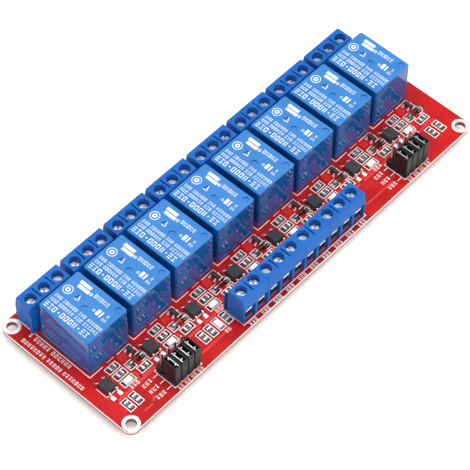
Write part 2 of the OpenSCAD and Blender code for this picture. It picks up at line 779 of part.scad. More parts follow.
// A chip along X: body with a wrap-round cap at each end
module chip() {
    skin = 0.03;
    translate([0, 0, chip_h / 2 + skin]) cube([chip_l, chip_w, chip_h], center = true);
    for (sx = [-1, 1])
        translate([sx * (chip_l / 2 - chip_l / 10), 0, chip_h / 2 + skin])
            cube([chip_l / 5 + 2 * skin, chip_w + 2 * skin, chip_h + 2 * skin], center = true);
}

// Places of the upright chips along the board
upright_chip_x = concat(
    [for (d = end_pair_left) -board_l / 2 + d],
    [for (d = end_pair_right) board_l / 2 - d],
    [for (k = [0, 2, 3]) input_left - supply_first - k * supply_step]
);

module chip_resistors() {
    color([0.12, 0.12, 0.13]) {
        for (place = resistor_at) at_columns(place) chip();
        for (x = upright_chip_x)
            translate([x, side_chip_y, board_t]) rotate([0, 0, 90]) chip();
    }
}

// An indicator light along X: base with its two plated ends, and the clear block
module indicator_led() {
    base_h = led_h / 3;
    translate([0, 0, base_h / 2]) cube([led_l, led_w, base_h], center = true);
    translate([0, 0, base_h]) moulded_body([led_l * 0.66, led_w, led_h - base_h], 0.08);
}

module indicator_leds() {
    color([0.92, 0.95, 0.92]) {
        at_columns(led_at) indicator_led();
        translate([input_left - supply_first - supply_step, side_chip_y, board_t])
            rotate([0, 0, 90]) indicator_led();
    }
}

// A glass diode along X with a metal cap at each end
module diodes() {
    cap = diode_l * 0.2;
    color([0.75, 0.4, 0.35]) at_columns(diode_at)
        translate([-diode_l / 2, 0, diode_d / 2]) rotate([0, 90, 0]) {
            translate([0, 0, cap]) cylinder(h = diode_l - 2 * cap, d = diode_d - 0.2);
            for (z = [0, diode_l - cap]) translate([0, 0, z]) cylinder(h = cap, d = diode_d);
        }
}

module transistors() {
    lead_span = 1.9;
    color([0.13, 0.13, 0.14]) at_columns(transistor_at)
        translate([0, 0, 0.08]) moulded_body([transistor_w, transistor_l, transistor_h], 0.08);
    color([0.8, 0.81, 0.82]) at_columns(transistor_at)
        for (lead = [[-lead_span / 2, 90], [lead_span / 2, 90], [0, -90]])
            rotate([0, 0, -lead[1]]) translate([lead[0], 0, 0])
                gull_lead(0.4, transistor_w / 2, transistor_w / 2 + 0.6, transistor_h * 0.6, 0.12);
}

// ---- the nodes ----

circuit_board();
for (i = [0:relay_count - 1]) {
    relay_cover(i);
    relay_base(i);
    relay_armature(i);
    output_terminal(i);
}
relay_yokes();
relay_bobbins();
relay_windings();
relay_contacts();
for (k = [0:len(input_blocks) - 1])
    input_terminal(k);
terminal_screws();
terminal_clamps();
terminal_pins();
jumper_headers();
header_pins();
for (n = [0:2 * jumper_columns - 1])
    jumper_cap(n);
optocouplers();
chip_resistors();
indicator_leds();
diodes();
transistors();
solder_joints();
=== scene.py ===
"""Looks of an eight-channel relay module board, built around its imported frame.

The board carries eight sealed relays, their screw terminals, a strip of small
parts, a signal terminal and two blocks of jumpers. Meshes are built in
millimetres and scaled to metres when a piece is finished.
"""

import functools
import logging
import math
import random
from dataclasses import dataclass, field, replace
from enum import Enum
from typing import Iterable, Sequence

import bmesh
import bpy
from bmesh.types import BMEdge, BMesh, BMFace, BMVert
from bpy.types import ID, Material, Node, NodeSocket, NodeTree, Object
from mathutils import Matrix, Vector


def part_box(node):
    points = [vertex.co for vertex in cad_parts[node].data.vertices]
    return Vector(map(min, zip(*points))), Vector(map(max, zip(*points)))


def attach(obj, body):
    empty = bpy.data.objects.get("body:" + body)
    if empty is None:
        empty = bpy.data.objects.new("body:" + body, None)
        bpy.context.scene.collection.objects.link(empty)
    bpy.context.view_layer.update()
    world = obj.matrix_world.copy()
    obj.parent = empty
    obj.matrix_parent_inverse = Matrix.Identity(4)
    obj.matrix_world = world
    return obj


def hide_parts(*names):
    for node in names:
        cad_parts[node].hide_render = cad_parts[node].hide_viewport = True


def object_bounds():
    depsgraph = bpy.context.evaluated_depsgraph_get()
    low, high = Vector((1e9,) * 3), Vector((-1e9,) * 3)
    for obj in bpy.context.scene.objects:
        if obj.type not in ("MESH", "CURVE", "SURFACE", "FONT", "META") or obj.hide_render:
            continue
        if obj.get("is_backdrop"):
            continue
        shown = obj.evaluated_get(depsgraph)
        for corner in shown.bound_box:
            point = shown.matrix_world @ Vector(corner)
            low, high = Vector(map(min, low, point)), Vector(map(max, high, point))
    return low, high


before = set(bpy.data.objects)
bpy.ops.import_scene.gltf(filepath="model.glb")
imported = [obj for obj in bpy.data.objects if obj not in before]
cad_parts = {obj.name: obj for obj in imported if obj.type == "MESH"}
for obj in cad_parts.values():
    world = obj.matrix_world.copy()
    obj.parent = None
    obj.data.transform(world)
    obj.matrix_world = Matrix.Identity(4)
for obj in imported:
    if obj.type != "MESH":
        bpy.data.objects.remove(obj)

MM = 0.001
BODY = "board"

log = logging.getLogger("relay_board")

Colour = tuple[float, float, float]
Point = tuple[float, float]


# ---------------------------------------------------------------- mesh tools


class Axis(Enum):
    """A row axis, as a direction."""

    X = Vector((1, 0, 0))
    Y = Vector((0, 1, 0))
    Z = Vector((0, 0, 1))

    @property
    def across(self) -> Vector:
        """The level direction square to X or Y."""
        return Axis.Y.value if self is Axis.X else Axis.X.value


def metres(value: float) -> float:
    """Return millimetres as metres."""
    return value * MM


def node_box(node: str) -> tuple[Vector, Vector]:
    """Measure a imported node.

    Args:
        node: The node's name.

    Returns:
        Its lowest and highest corners, in millimetres.
    """
    low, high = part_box(node)
    return low / MM, high / MM


def paint(faces: Iterable[BMFace], slot: int) -> None:
    """Give faces a material slot."""
    for face in faces:
        face.material_index = slot


def moved(points: Sequence[Point], x: float, y: float) -> list[Point]:
    """Move level points by x and y."""
    return [(x + u, y + v) for u, v in points]


def add_box(bm: BMesh, low: Sequence[float], high: Sequence[float]) -> list[BMVert]:
    """Add a box.

    Args:
        bm: The mesh to add to.
        low: The lowest corner.
        high: The highest corner.

    Returns:
        The new vertices.
    """
    low, high = Vector(low), Vector(high)
    place = Matrix.Translation((low + high) / 2) @ Matrix.Diagonal((*(high - low), 1))
    return bmesh.ops.create_cube(bm, size=1, matrix=place)["verts"]


def add_disc(bm: BMesh, centre: Sequence[float], radius: float, height: float,
             segments: int) -> None:
    """Add a flat upright cylinder.

    Args:
        bm: The mesh to add to.
        centre: The middle of its lower face.
        radius: Its radius.
        height: Its height.
        segments: How many sides it has.
    """
    place = Matrix.Translation(Vector(centre) + Axis.Z.value * height / 2)
    bmesh.ops.create_cone(bm, cap_ends=True, segments=segments, radius1=radius,
                          radius2=radius, depth=height, matrix=place)


def add_turned(bm: BMesh, centre: Sequence[float], profile: Sequence[Point],
               segments: int = 32) -> None:
    """Turn a closed profile about an upright line.

    Args:
        bm: The mesh to add to.
        centre: A point on the line.
        profile: Corners as (radius, height above the centre).
        segments: How many steps the turn has.
    """
    centre = Vector(centre)
    verts = [bm.verts.new(centre + Vector((r, 0, z))) for r, z in profile]
    edges = [bm.edges.new((a, b)) for a, b in zip(verts, verts[1:] + verts[:1])]
    before = set(bm.faces)
    bmesh.ops.spin(bm, geom=verts + edges, cent=centre, axis=Axis.Z.value, dvec=(0, 0, 0),
                   angle=math.tau, steps=segments, use_merge=True, use_normal_flip=False,
                   use_duplicate=False)
    made = [face for face in bm.faces if face not in before]
    bmesh.ops.recalc_face_normals(bm, faces=made)


def add_strip(bm: BMesh, points: Sequence[Point], width: float, level: float,
              height: float) -> None:
    """Add a flat strip along a line of points, with round joints.

    Args:
        bm: The mesh to add to.
        points: The line, as (x, y).
        width: The strip's width.
        level: The height of its underside.
        height: Its own height.
    """
    for start, end in zip(points, points[1:]):
        a, b = Vector((*start, level)), Vector((*end, level))
        run = b - a
        turn = Matrix.Rotation(math.atan2(run.y, run.x), 4, "Z")
        place = Matrix.Translation((a + b) / 2 + Axis.Z.value * height / 2) @ turn
        bmesh.ops.create_cube(bm, size=1,
                              matrix=place @ Matrix.Diagonal((run.length, width, height, 1)))
    for corner in points[1:-1]:
        add_disc(bm, (*corner, level), width / 2, height, 12)


def add_fillet(bm: BMesh, low: Sequence[float], high: Sequence[float],
               away: Vector, fall: float = 0.85, ridge_round: float = 0.08) -> None:
    """Add a solder fillet that falls away from what it holds.

    Args:
        bm: The mesh to add to.
        low: The lowest corner of its box.
        high: The highest corner of its box.
        away: The direction in which it falls.
        fall: The share of its height by which the far edge drops.
        ridge_round: The width of the bevel on its ridge.
    """
    verts = add_box(bm, low, high)
    middle = (Vector(low) + Vector(high)) / 2
    far = [v for v in verts if v.co.z > middle.z and (v.co - middle).dot(away) > 0]
    bmesh.ops.translate(bm, verts=far, vec=(0, 0, -fall * (high[2] - low[2])))
    ridge = [e for e in {e for v in verts for e in v.link_edges}
             if all(v.co.z > middle.z for v in e.verts)]
    bmesh.ops.bevel(bm, geom=ridge, offset=ridge_round, offset_type="OFFSET", affect="EDGES",
                    segments=2, profile=0.5, material=-1, clamp_overlap=True)


def soften(bm: BMesh, edges: Iterable[BMEdge], width: float, segments: int = 2) -> None:
    """Round some edges.

    Args:
        bm: The mesh.
        edges: The edges to round.
        width: The bevel's width.
        segments: How many facets it has.
    """
    bmesh.ops.bevel(bm, geom=list(edges), offset=width, offset_type="OFFSET", affect="EDGES",
                    segments=segments, profile=0.5, material=-1, clamp_overlap=False,
                    loop_slide=True)


def sharp_edges(bm: BMesh, longer_than: float,
                least_angle: float = 35.0) -> list[BMEdge]:
    """Find the outer edges that moulding or cutting would leave slightly round.

    Args:
        bm: The mesh.
        longer_than: The shortest edge to take.
        least_angle: The smallest angle between its faces, in degrees.

    Returns:
        The edges that stick out.
    """
    limit = math.radians(least_angle)
    return [e for e in bm.edges
            if len(e.link_faces) == 2 and e.calc_length() > longer_than
            and e.calc_face_angle_signed(0) > limit]


def carried_copy(node: str) -> BMesh:
    """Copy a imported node's mesh, merged into faces that can be worked on.

    Args:
        node: The node's name.

    Returns:
        The copy, in millimetres.
    """
    bm = bmesh.new()
    bm.from_mesh(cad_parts[node].data)
    bmesh.ops.scale(bm, vec=(1 / MM,) * 3, verts=bm.verts)
    bmesh.ops.remove_doubles(bm, verts=bm.verts, dist=0.0005)
    bmesh.ops.dissolve_limit(bm, angle_limit=math.radians(0.5), verts=bm.verts,
                             edges=bm.edges, use_dissolve_boundaries=False, delimit=set())
    paint(bm.faces, 0)
    return bm


@dataclass
class Island:
    """One connected solid of a mesh."""

    faces: list[BMFace]
    low: Vector
    high: Vector

    @property
    def centre(self) -> Vector:
        """The middle of its box."""
        return (self.low + self.high) / 2

    @property
    def size(self) -> Vector:
        """Its extents."""
        return self.high - self.low

    @property
    def long_axis(self) -> Axis:
        """The level axis that it is longest along."""
        return Axis.X if self.size.x > self.size.y else Axis.Y


def islands(bm: BMesh) -> list[Island]:
    """Split a mesh into its connected solids.

    Args:
        bm: The mesh.

    Returns:
        One entry a solid, in the order of their first face.
    """
    found, seen = [], set()
    bm.faces.ensure_lookup_table()
    for first in bm.faces:
        if first in seen:
            continue
        seen.add(first)
        faces, queue = [], [first]
        while queue:
            face = queue.pop()
            faces.append(face)
            for edge in face.edges:
                for other in edge.link_faces:
                    if other not in seen:
                        seen.add(other)
                        queue.append(other)
        points = [v.co for face in faces for v in face.verts]
        low = Vector([min(p[k] for p in points) for k in range(3)])
        high = Vector([max(p[k] for p in points) for k in range(3)])
        found.append(Island(faces, low, high))
    return found


def clusters(points: Iterable[Vector], reach: float) -> list[list[Vector]]:
    """Group points that lie close together.

    Args:
        points: The points.
        reach: The greatest distance from a group's first point.

    Returns:
        The groups.
    """
    groups: list[list[Vector]] = []
    for point in points:
        for group in groups:
            if (point - group[0]).length < reach:
                group.append(point)
                break
        else:
            groups.append([point])
    return groups


def add_object(name: str, data: ID) -> Object:
    """Add an object to the scene.

    Args:
        name: Its name.
        data: Its mesh, lamp or camera.

    Returns:
        The new object.
    """
    made = bpy.data.objects.new(name, data)
    bpy.context.scene.collection.objects.link(made)
    return made


def add_mesh(bm: BMesh, name: str, finishes: Sequence["Finish"]) -> Object:
    """Turn a mesh in metres into an object.

    Args:
        bm: The mesh, which is freed.
        name: The object's name.
        finishes: One finish for each material slot.

    Returns:
        The new object.
    """
    mesh = bpy.data.meshes.new(name)
    bm.to_mesh(mesh)
    bm.free()
    for finish in finishes:
        mesh.materials.append(material_of(finish))
    return add_object(name, mesh)


def finish_piece(bm: BMesh, name: str, finishes: Sequence["Finish"],
                 body: str = BODY, replaces: Sequence[str] = (), smooth_angle: float = 32.0,
                 rounded: bool = False) -> None:
    """Turn a mesh in millimetres into a piece that rides on a body.

    Args:
        bm: The mesh, which is freed.
        name: The piece's name.
        finishes: One finish for each material slot.
        body: The body that it rides on.
        replaces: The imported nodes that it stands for.
        smooth_angle: Edges up to this angle, in degrees, are shaded round.
        rounded: Whether its edges are bevelled, so that large faces stay flat.
    """
    limit = math.radians(smooth_angle)
    for face in bm.faces:
        face.smooth = True
    for edge in bm.edges:
        edge.smooth = edge.calc_face_angle(math.pi) < limit
    bmesh.ops.scale(bm, vec=(MM,) * 3, verts=bm.verts)
    piece = add_mesh(bm, name, finishes)
    if rounded:
        flat = piece.modifiers.new("flat_faces", "WEIGHTED_NORMAL")
        flat.keep_sharp = True
    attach(piece, body)
    if replaces:
        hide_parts(*replaces)
    log.info("%s: %d faces on %s", name, len(piece.data.polygons), body)


def dress_whole(node: str, name: str, finish: "Finish", edge_round: float = 0.0,
                shortest: float = 0.25) -> None:
    """Give a whole node one finish, with its outer edges slightly round.

    Args:
        node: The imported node.
        name: The piece's name.
        finish: Its finish.
        edge_round: The width of its edge bevels, or 0 for none.
        shortest: The shortest edge that is rounded.
    """
    bm = carried_copy(node)
    if edge_round:
        soften(bm, sharp_edges(bm, shortest), edge_round, 1)
    finish_piece(bm, name, [finish], replaces=[node])


# ------------------------------------------------------------- shader nodes


class NodeMaker:
    """Adds and joins nodes in one tree."""

    def __init__(self, tree: NodeTree) -> None:
        """Take a tree.

        Args:
            tree: The tree to work in.
        """
        self.tree = tree

    def node(self, kind: str, **settings: object) -> Node:
        """Add a node and set its properties.

        Args:
            kind: The node's type.
            settings: Its properties by name.

        Returns:
            The new node.
        """
        made = self.tree.nodes.new(kind)
        for key, value in settings.items():
            setattr(made, key, value)
        return made

    def preset(self, node: Node, **values: object) -> None:
        """Set uniform values on a node's inputs, with underscores for spaces."""
        for key, value in values.items():
            node.inputs[key.replace("_", " ")].default_value = value

    def link(self, source: NodeSocket, target: NodeSocket) -> None:
        """Join two sockets."""
        self.tree.links.new(source, target)

    def maths(self, operation: str, first: object, second: object) -> NodeSocket:
        """Add a Math node.

        Args:
            operation: Its operation.
            first: A socket or a number.
            second: A socket or a number.

        Returns:
            The result's socket.
        """
        made = self.node("ShaderNodeMath", operation=operation)
        for socket, value in zip(made.inputs, (first, second)):
            if isinstance(value, NodeSocket):
                self.link(value, socket)
            else:
                socket.default_value = value
        return made.outputs[0]

    def ramp(self, value: NodeSocket, low: float, high: float,
             dark: object, light: object) -> NodeSocket:
        """Blend from one colour to another as a value rises.

        Args:
            value: The value's socket.
            low: Where the blend starts.
            high: Where it ends.
            dark: The first colour, as a socket or a colour.
            light: The second colour, as a socket or a colour.

        Returns:
            The colour's socket.
        """
        rise = self.node("ShaderNodeMapRange", clamp=True)
        self.preset(rise, From_Min=low, From_Max=high)
        self.link(value, rise.inputs["Value"])
        mix = self.node("ShaderNodeMix", data_type="RGBA")
        self.link(rise.outputs["Result"], mix.inputs["Factor"])
        for label, colour in (("A", dark), ("B", light)):
            if isinstance(colour, NodeSocket):
                self.link(colour, mix.inputs[label])
            else:
                mix.inputs[label].default_value = (*colour, 1)
        return mix.outputs["Result"]


class GroupMaker(NodeMaker):
    """Builds one shader node group with named sockets."""

    SOCKETS = {"value": "NodeSocketFloat", "colour": "NodeSocketColor"}

    def __init__(self, name: str, inputs: dict[str, str], outputs: dict[str, str]) -> None:
        """Start a group.

        Args:
            name: The group's name.
            inputs: Socket names and kinds going in.
            outputs: Socket names and kinds coming out.
        """
        super().__init__(bpy.data.node_groups.new(name, "ShaderNodeTree"))
        for label, kind in inputs.items():
            self.tree.interface.new_socket(label, in_out="INPUT", socket_type=self.SOCKETS[kind])
        for label, kind in outputs.items():
            self.tree.interface.new_socket(label, in_out="OUTPUT", socket_type=self.SOCKETS[kind])
        self.start = self.tree.nodes.new("NodeGroupInput").outputs
        self.end = self.tree.nodes.new("NodeGroupOutput").inputs


@functools.cache
def grain_group() -> NodeTree:
    """Build the fine grain of a moulded or plated face.

    Returns:
        A group with Size (mm), Roughness and Spread in, and Height and
        Roughness out.
    """
    group = GroupMaker("fine_grain", {"Size": "value", "Roughness": "value", "Spread": "value"},
                       {"Height": "value", "Roughness": "value"})
    place = group.node("ShaderNodeTexCoord").outputs["Object"]
    fine = group.node("ShaderNodeTexNoise")
    broad = group.node("ShaderNodeTexNoise")
    group.preset(fine, Detail=2.0)
    group.preset(broad, Detail=3.0, Scale=0.35 / MM)
    group.link(group.maths("DIVIDE", 1 / MM, group.start["Size"]), fine.inputs["Scale"])
    for noise in (fine, broad):
        group.link(place, noise.inputs["Vector"])
    centred = group.maths("SUBTRACT", broad.outputs["Fac"], 0.5)
    change = group.maths("MULTIPLY", centred, group.start["Spread"])
    group.link(group.maths("ADD", change, group.start["Roughness"]), group.end["Roughness"])
    group.link(fine.outputs["Fac"], group.end["Height"])
    return group.tree


@functools.cache
def mottle_group() -> NodeTree:
    """Build a slow drift between two close colours.

    Returns:
        A group with Size (mm), Light and Dark in, and Colour out.
    """
    group = GroupMaker("colour_drift", {"Size": "value", "Light": "colour", "Dark": "colour"},
                       {"Colour": "colour"})
    place = group.node("ShaderNodeTexCoord").outputs["Object"]
    noise = group.node("ShaderNodeTexNoise")
    group.preset(noise, Detail=4.0)
    group.link(place, noise.inputs["Vector"])
    group.link(group.maths("DIVIDE", 1 / MM, group.start["Size"]), noise.inputs["Scale"])
    result = group.ramp(noise.outputs["Fac"], 0.35, 0.65, group.start["Dark"],
                        group.start["Light"])
    group.link(result, group.end["Colour"])
    return group.tree


# ----------------------------------------------------------------- finishes


class Paint(NodeMaker):
    """A material under construction around one Principled shader."""

    def __init__(self, name: str) -> None:
        """Start a material.

        Args:
            name: Its name.
        """
        self.material = bpy.data.materials.new(name)
        self.material.use_nodes = True
        super().__init__(self.material.node_tree)
        self.shader = self.tree.nodes["Principled BSDF"]

    def set(self, **values: object) -> None:
        """Set uniform values on the shader, with underscores for spaces."""
        self.preset(self.shader, **values)

    def grain(self, size: float, roughness: float, spread: float, depth: float) -> None:
        """Give the surface its fine grain.

        Args:
            size: The grain's size in millimetres.
            roughness: The mean roughness.
            spread: How far the roughness wanders.
            depth: The grain's depth in millimetres.
        """
        group = self.node("ShaderNodeGroup", node_tree=grain_group())
        self.preset(group, Size=size, Roughness=roughness, Spread=spread)
        self.link(group.outputs["Roughness"], self.shader.inputs["Roughness"])
        bump = self.node("ShaderNodeBump")
        self.preset(bump, Strength=1.0, Distance=metres(depth))
        self.link(group.outputs["Height"], bump.inputs["Height"])
        self.link(bump.outputs["Normal"], self.shader.inputs["Normal"])

    def drift(self, light: Colour, dark: Colour, size: float) -> None:
        """Let the colour wander between two tones.

        Args:
            light: The lighter tone.
            dark: The darker tone.
            size: The size of a patch in millimetres.
        """
        group = self.node("ShaderNodeGroup", node_tree=mottle_group())
        self.preset(group, Size=size, Light=(*light, 1), Dark=(*dark, 1))
        self.link(group.outputs["Colour"], self.shader.inputs["Base Color"])


@dataclass(frozen=True)
class Finish:
    """What every finish has: a name and its main tone."""

    name: str
    light: Colour

    def build(self) -> Material:
        """Build the material; each finish has its own way."""
        raise NotImplementedError


@dataclass(frozen=True)
class Grained(Finish):
    """A face that drifts between two close tones and has a fine grain."""

    dark: Colour
    patch: float = 6.0
    roughness: float = 0.4
    spread: float = 0.12
    grain: float = 0.12
    depth: float = 0.003

    def build(self) -> Material:
        """Build the material.

        Returns:
            The new material.
        """
        coat = Paint(self.name)
        coat.drift(self.light, self.dark, self.patch)
        coat.grain(self.grain, self.roughness, self.spread, self.depth)
        self.tune(coat)
        return coat.material

    def tune(self, coat: Paint) -> None:
        """Set what makes it plastic, metal or glass; each kind has its own way."""
        raise NotImplementedError


@dataclass(frozen=True)
class Moulded(Grained):
    """Opaque moulded plastic, glaze or lacquer."""

    shine: float = 0.5
    # A glow is painted light on a part that is no lit lamp.
    glow: float = 0.0

    def tune(self, coat: Paint) -> None:
        """Set its shine, and its painted glow if it has one.

        Args:
            coat: The material under construction.
        """
        coat.set(Specular_IOR_Level=self.shine)
        if self.glow:
            coat.set(Emission_Color=(*self.light, 1), Emission_Strength=self.glow)


@dataclass(frozen=True)
class Plated(Grained):
    """Bare or plated metal."""

    roughness: float = 0.25
    spread: float = 0.15
    grain: float = 0.15
    depth: float = 0.002
    metallic: float = 1.0

    def tune(self, coat: Paint) -> None:
        """Make it metal."""
        coat.set(Metallic=self.metallic)


@dataclass(frozen=True)
class Clear(Grained):
    """See-through plastic or glass, tinted by its own colour."""

    roughness: float = 0.08
    spread: float = 0.05
    grain: float = 0.3
    depth: float = 0.002
    ior: float = 1.49
    clearness: float = 1.0

    def tune(self, coat: Paint) -> None:
        """Let light through it."""
        coat.set(Transmission_Weight=self.clearness, IOR=self.ior)


@dataclass(frozen=True)
class Layered(Finish):
    """Bare edge of a laminate, in thin level layers, with painted shade darkening it towards its
    foot.
    """

    dark: Colour
    layer: float = 0.2
    roughness: float = 0.7
    # foot: painted shade, the colour that the lower part of the edge darkens to.
    foot: Colour = (0.3, 0.22, 0.2)
    shade_foot_low: float = 0.55
    shade_foot_high: float = 0.95

    def build(self) -> Material:
        """Build the material.

        Returns:
            The new material.
        """
        coat = Paint(self.name)
        place = coat.node("ShaderNodeTexCoord").outputs["Object"]
        wave = coat.node("ShaderNodeTexWave", wave_type="BANDS", bands_direction="Z")
        coat.preset(wave, Scale=0.3 / metres(self.layer), Distortion=1.5, Detail=2.0)
        coat.link(place, wave.inputs["Vector"])
        ramp = coat.node("ShaderNodeValToRGB")
        ramp.color_ramp.elements[0].color = (*self.dark, 1)
        ramp.color_ramp.elements[1].color = (*self.light, 1)
        coat.link(wave.outputs["Fac"], ramp.inputs["Fac"])
        height = coat.node("ShaderNodeSeparateXYZ")
        coat.link(place, height.inputs[0])
        # Painted shade: darker towards the foot of the edge.
        colour = coat.ramp(height.outputs["Z"], metres(self.shade_foot_low),
                             metres(self.shade_foot_high), self.foot, ramp.outputs["Color"])
        coat.link(colour, coat.shader.inputs["Base Color"])
        coat.set(Roughness=self.roughness)
        return coat.material


@dataclass(frozen=True)
class Backdrop(Finish):
    """Floor that shows plain white and keeps a soft shadow."""

    glow: float = 0.22

    def build(self) -> Material:
        """Build the material.

        Returns:
            The new material.
        """
        coat = Paint(self.name)
        coat.set(Base_Color=(*self.light, 1), Roughness=0.9, Specular_IOR_Level=0.0,
                   Emission_Color=(1, 1, 1, 1))
        rays = coat.node("ShaderNodeLightPath").outputs
        seen = coat.maths("MAXIMUM", rays["Is Camera Ray"], rays["Is Glossy Ray"])
        coat.link(coat.maths("MULTIPLY", seen, self.glow),
                    coat.shader.inputs["Emission Strength"])
        return coat.material


@functools.cache
def material_of(finish: Finish) -> Material:
    """Return a finish's material, built once."""
    return finish.build()


MASK = Moulded("solder_mask", (0.6, 0.01, 0.011), (0.42, 0.006, 0.009), 7, roughness=0.42,
               grain=0.5, depth=0.004, shine=0.14)
# A darker mask: painted shadow in front of the signal terminal.
PAINTED_SHADOW_MASK = Moulded("mask_painted_shadow", (0.38, 0.013, 0.014), (0.29, 0.009, 0.01), 5,
                    roughness=0.42, grain=0.5, depth=0.004, shine=0.14)
TRACK_MASK = Moulded("mask_over_copper", (0.78, 0.026, 0.022), (0.64, 0.017, 0.018), 5,
                     roughness=0.3, grain=0.5, depth=0.004, shine=0.35)
# Its foot is darkened with painted shade.
LAMINATE = Layered("laminate_edge", (1.0, 0.95, 0.89), (0.88, 0.78, 0.72))
INK = Moulded("legend_ink", (1.0, 0.98, 0.96), (0.94, 0.92, 0.9), 2, roughness=0.6, grain=0.1)
PRINT = Moulded("cover_print", (0.8, 0.85, 0.88), (0.72, 0.77, 0.8), 2, roughness=0.6,
                grain=0.1)
TIN = Plated("tinned_copper", (0.96, 0.95, 0.94), (0.84, 0.83, 0.82), 1.5, roughness=0.34,
             grain=0.4, depth=0.01, metallic=0.6)
# Hole walls: dark red as painted shade and painted reflection of the red mask.
HOLE_WALL_PAINTED_SHADE = Plated("hole_wall_painted_shade", (0.3, 0.13, 0.13), (0.2, 0.07, 0.07), 1.2, roughness=0.45,
                   metallic=0.2)
RING_TIN = Plated("ring_tin", (0.87, 0.81, 0.81), (0.74, 0.67, 0.67), 1.5, roughness=0.4,
                  grain=0.5, depth=0.012, metallic=0.6)
SOLDER = Plated("solder", (1.0, 0.98, 0.95), (0.86, 0.84, 0.8), 1, roughness=0.32,
                grain=0.5, depth=0.02, metallic=0.5)
DULL_SOLDER = Plated("dull_solder", (0.2, 0.18, 0.18), (0.1, 0.09, 0.09), 0.6, roughness=0.35,
                     grain=0.3, depth=0.02)
# Near-black cells round the small parts: painted shade.
PAINTED_SHADE = Moulded("painted_cell_shade", (0.035, 0.012, 0.014), (0.016, 0.006, 0.008), 1, roughness=0.5,
               shine=0.2)
COVER_TOP = Moulded("cover_top", (0.04, 0.225, 0.6), (0.032, 0.195, 0.54), 8, roughness=0.42,
                    grain=0.09, depth=0.006, shine=0.25)
COVER_SIDE = Clear("cover_side", (0.018, 0.25, 0.76), (0.012, 0.19, 0.62), 12, roughness=0.05,
                   spread=0.02, depth=0.0006, clearness=0.54)
RELAY_BASE = Moulded("relay_base", (0.03, 0.05, 0.2), (0.02, 0.035, 0.15), 5, roughness=0.45)
HOUSING = Moulded("terminal_plastic", (0.012, 0.145, 0.53), (0.009, 0.12, 0.46), 8,
                  roughness=0.4, grain=0.15, depth=0.004, shine=0.14)
ZINC = Plated("screw_zinc", (1.0, 1.0, 1.0), (0.9, 0.92, 0.93), 0.8, roughness=0.28,
              metallic=0.65)
# Darkened steel: painted shade of the cages deep in the terminal mouths.
CLAMP_STEEL_PAINTED_SHADE = Plated("clamp_steel_painted_shade", (0.34, 0.33, 0.32), (0.24, 0.23, 0.23), 1, roughness=0.35)
YOKE_STEEL = Plated("yoke_steel", (0.8, 0.81, 0.84), (0.66, 0.67, 0.7), 3, roughness=0.32)
COPPER_WIRE = Plated("coil_wire", (0.8, 0.28, 0.14), (0.62, 0.2, 0.1), 1.5, roughness=0.3)
BOBBIN = Moulded("bobbin", (0.82, 0.82, 0.76), (0.74, 0.74, 0.68), 4, roughness=0.5)
SPRING_METAL = Plated("spring_alloy", (0.9, 0.7, 0.45), (0.78, 0.55, 0.34), 2, roughness=0.28)
CONTACT = Plated("contact_metal", (0.95, 0.93, 0.9), (0.85, 0.83, 0.8), 1, roughness=0.25)
BLACK = Moulded("black_plastic", (0.011, 0.011, 0.014), (0.006, 0.006, 0.008), 3, roughness=0.42,
                grain=0.1, depth=0.005, shine=0.3)
PIN_PLATE = Plated("pin_plate", (0.72, 0.72, 0.72), (0.56, 0.55, 0.54), 0.8, roughness=0.3)
COMPOUND = Moulded("chip_compound", (0.05, 0.05, 0.057), (0.032, 0.032, 0.038), 1.2,
                   roughness=0.6, grain=0.07, depth=0.008, shine=0.3)
GLAZE = Moulded("resistor_glaze", (0.02, 0.02, 0.022), (0.012, 0.012, 0.014), 1, roughness=0.4,
                shine=0.3)
CERAMIC = Moulded("ceramic", (0.9, 0.89, 0.86), (0.8, 0.79, 0.77), 1, roughness=0.5)
# The unlit indicator's lens glows faintly: painted light.
LENS_PAINTED_GLOW = Moulded("light_lens_painted_glow", (1.0, 1.0, 0.95), (0.92, 0.95, 0.88), 0.8, roughness=0.3, glow=0.3)
CHIP_INK = Moulded("chip_ink", (0.5, 0.5, 0.5), (0.36, 0.36, 0.36), 0.6, roughness=0.6)
DIODE_GLASS = Clear("diode_glass", (0.5, 0.1, 0.06), (0.36, 0.06, 0.04), 1, roughness=0.03,
                    ior=1.5)
# Darkened caps: painted reflection of dark surroundings on bright metal.
DIODE_CAP_PAINTED_REFLECTION = Plated("diode_cap_painted_reflection", (0.34, 0.33, 0.33), (0.2, 0.2, 0.2), 0.7, roughness=0.25)
FLOOR = Backdrop("floor", (0.9, 0.9, 0.9))


# ------------------------------------------------------------------- layout


@dataclass
class Layout:
    """Places that the pieces share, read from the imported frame."""

    relay_count: int = 8
    relay_shift: float = 0.45
    board_low: Vector = field(init=False)
    board_high: Vector = field(init=False)
    relay_low_y: float = field(init=False)
    relay_middle_y: float = field(init=False)
    relay_top: float = field(init=False)
    relay_x: list[float] = field(init=False)
    columns: list[float] = field(init=False)

    def __post_init__(self) -> None:
        """Measure the board and the relays."""
        self.board_low, self.board_high = node_box("circuit_board")
        boxes = [node_box(f"relay_cover_{n}") for n in self.relay_numbers]
        low, high = boxes[0]
        self.relay_low_y, self.relay_top = low.y, high.z
        self.relay_middle_y = (low.y + high.y) / 2
        self.relay_x = [(near.x + far.x) / 2 for near, far in boxes]
        self.columns = [x - self.relay_shift for x in self.relay_x]

    @property
    def relay_numbers(self) -> range:
        """The relays' numbers, from 1."""
        return range(1, self.relay_count + 1)

    @property
    def top(self) -> float:
        """The level of the board's upper face."""
        return self.board_high.z


# -------------------------------------------------------------- printed ink


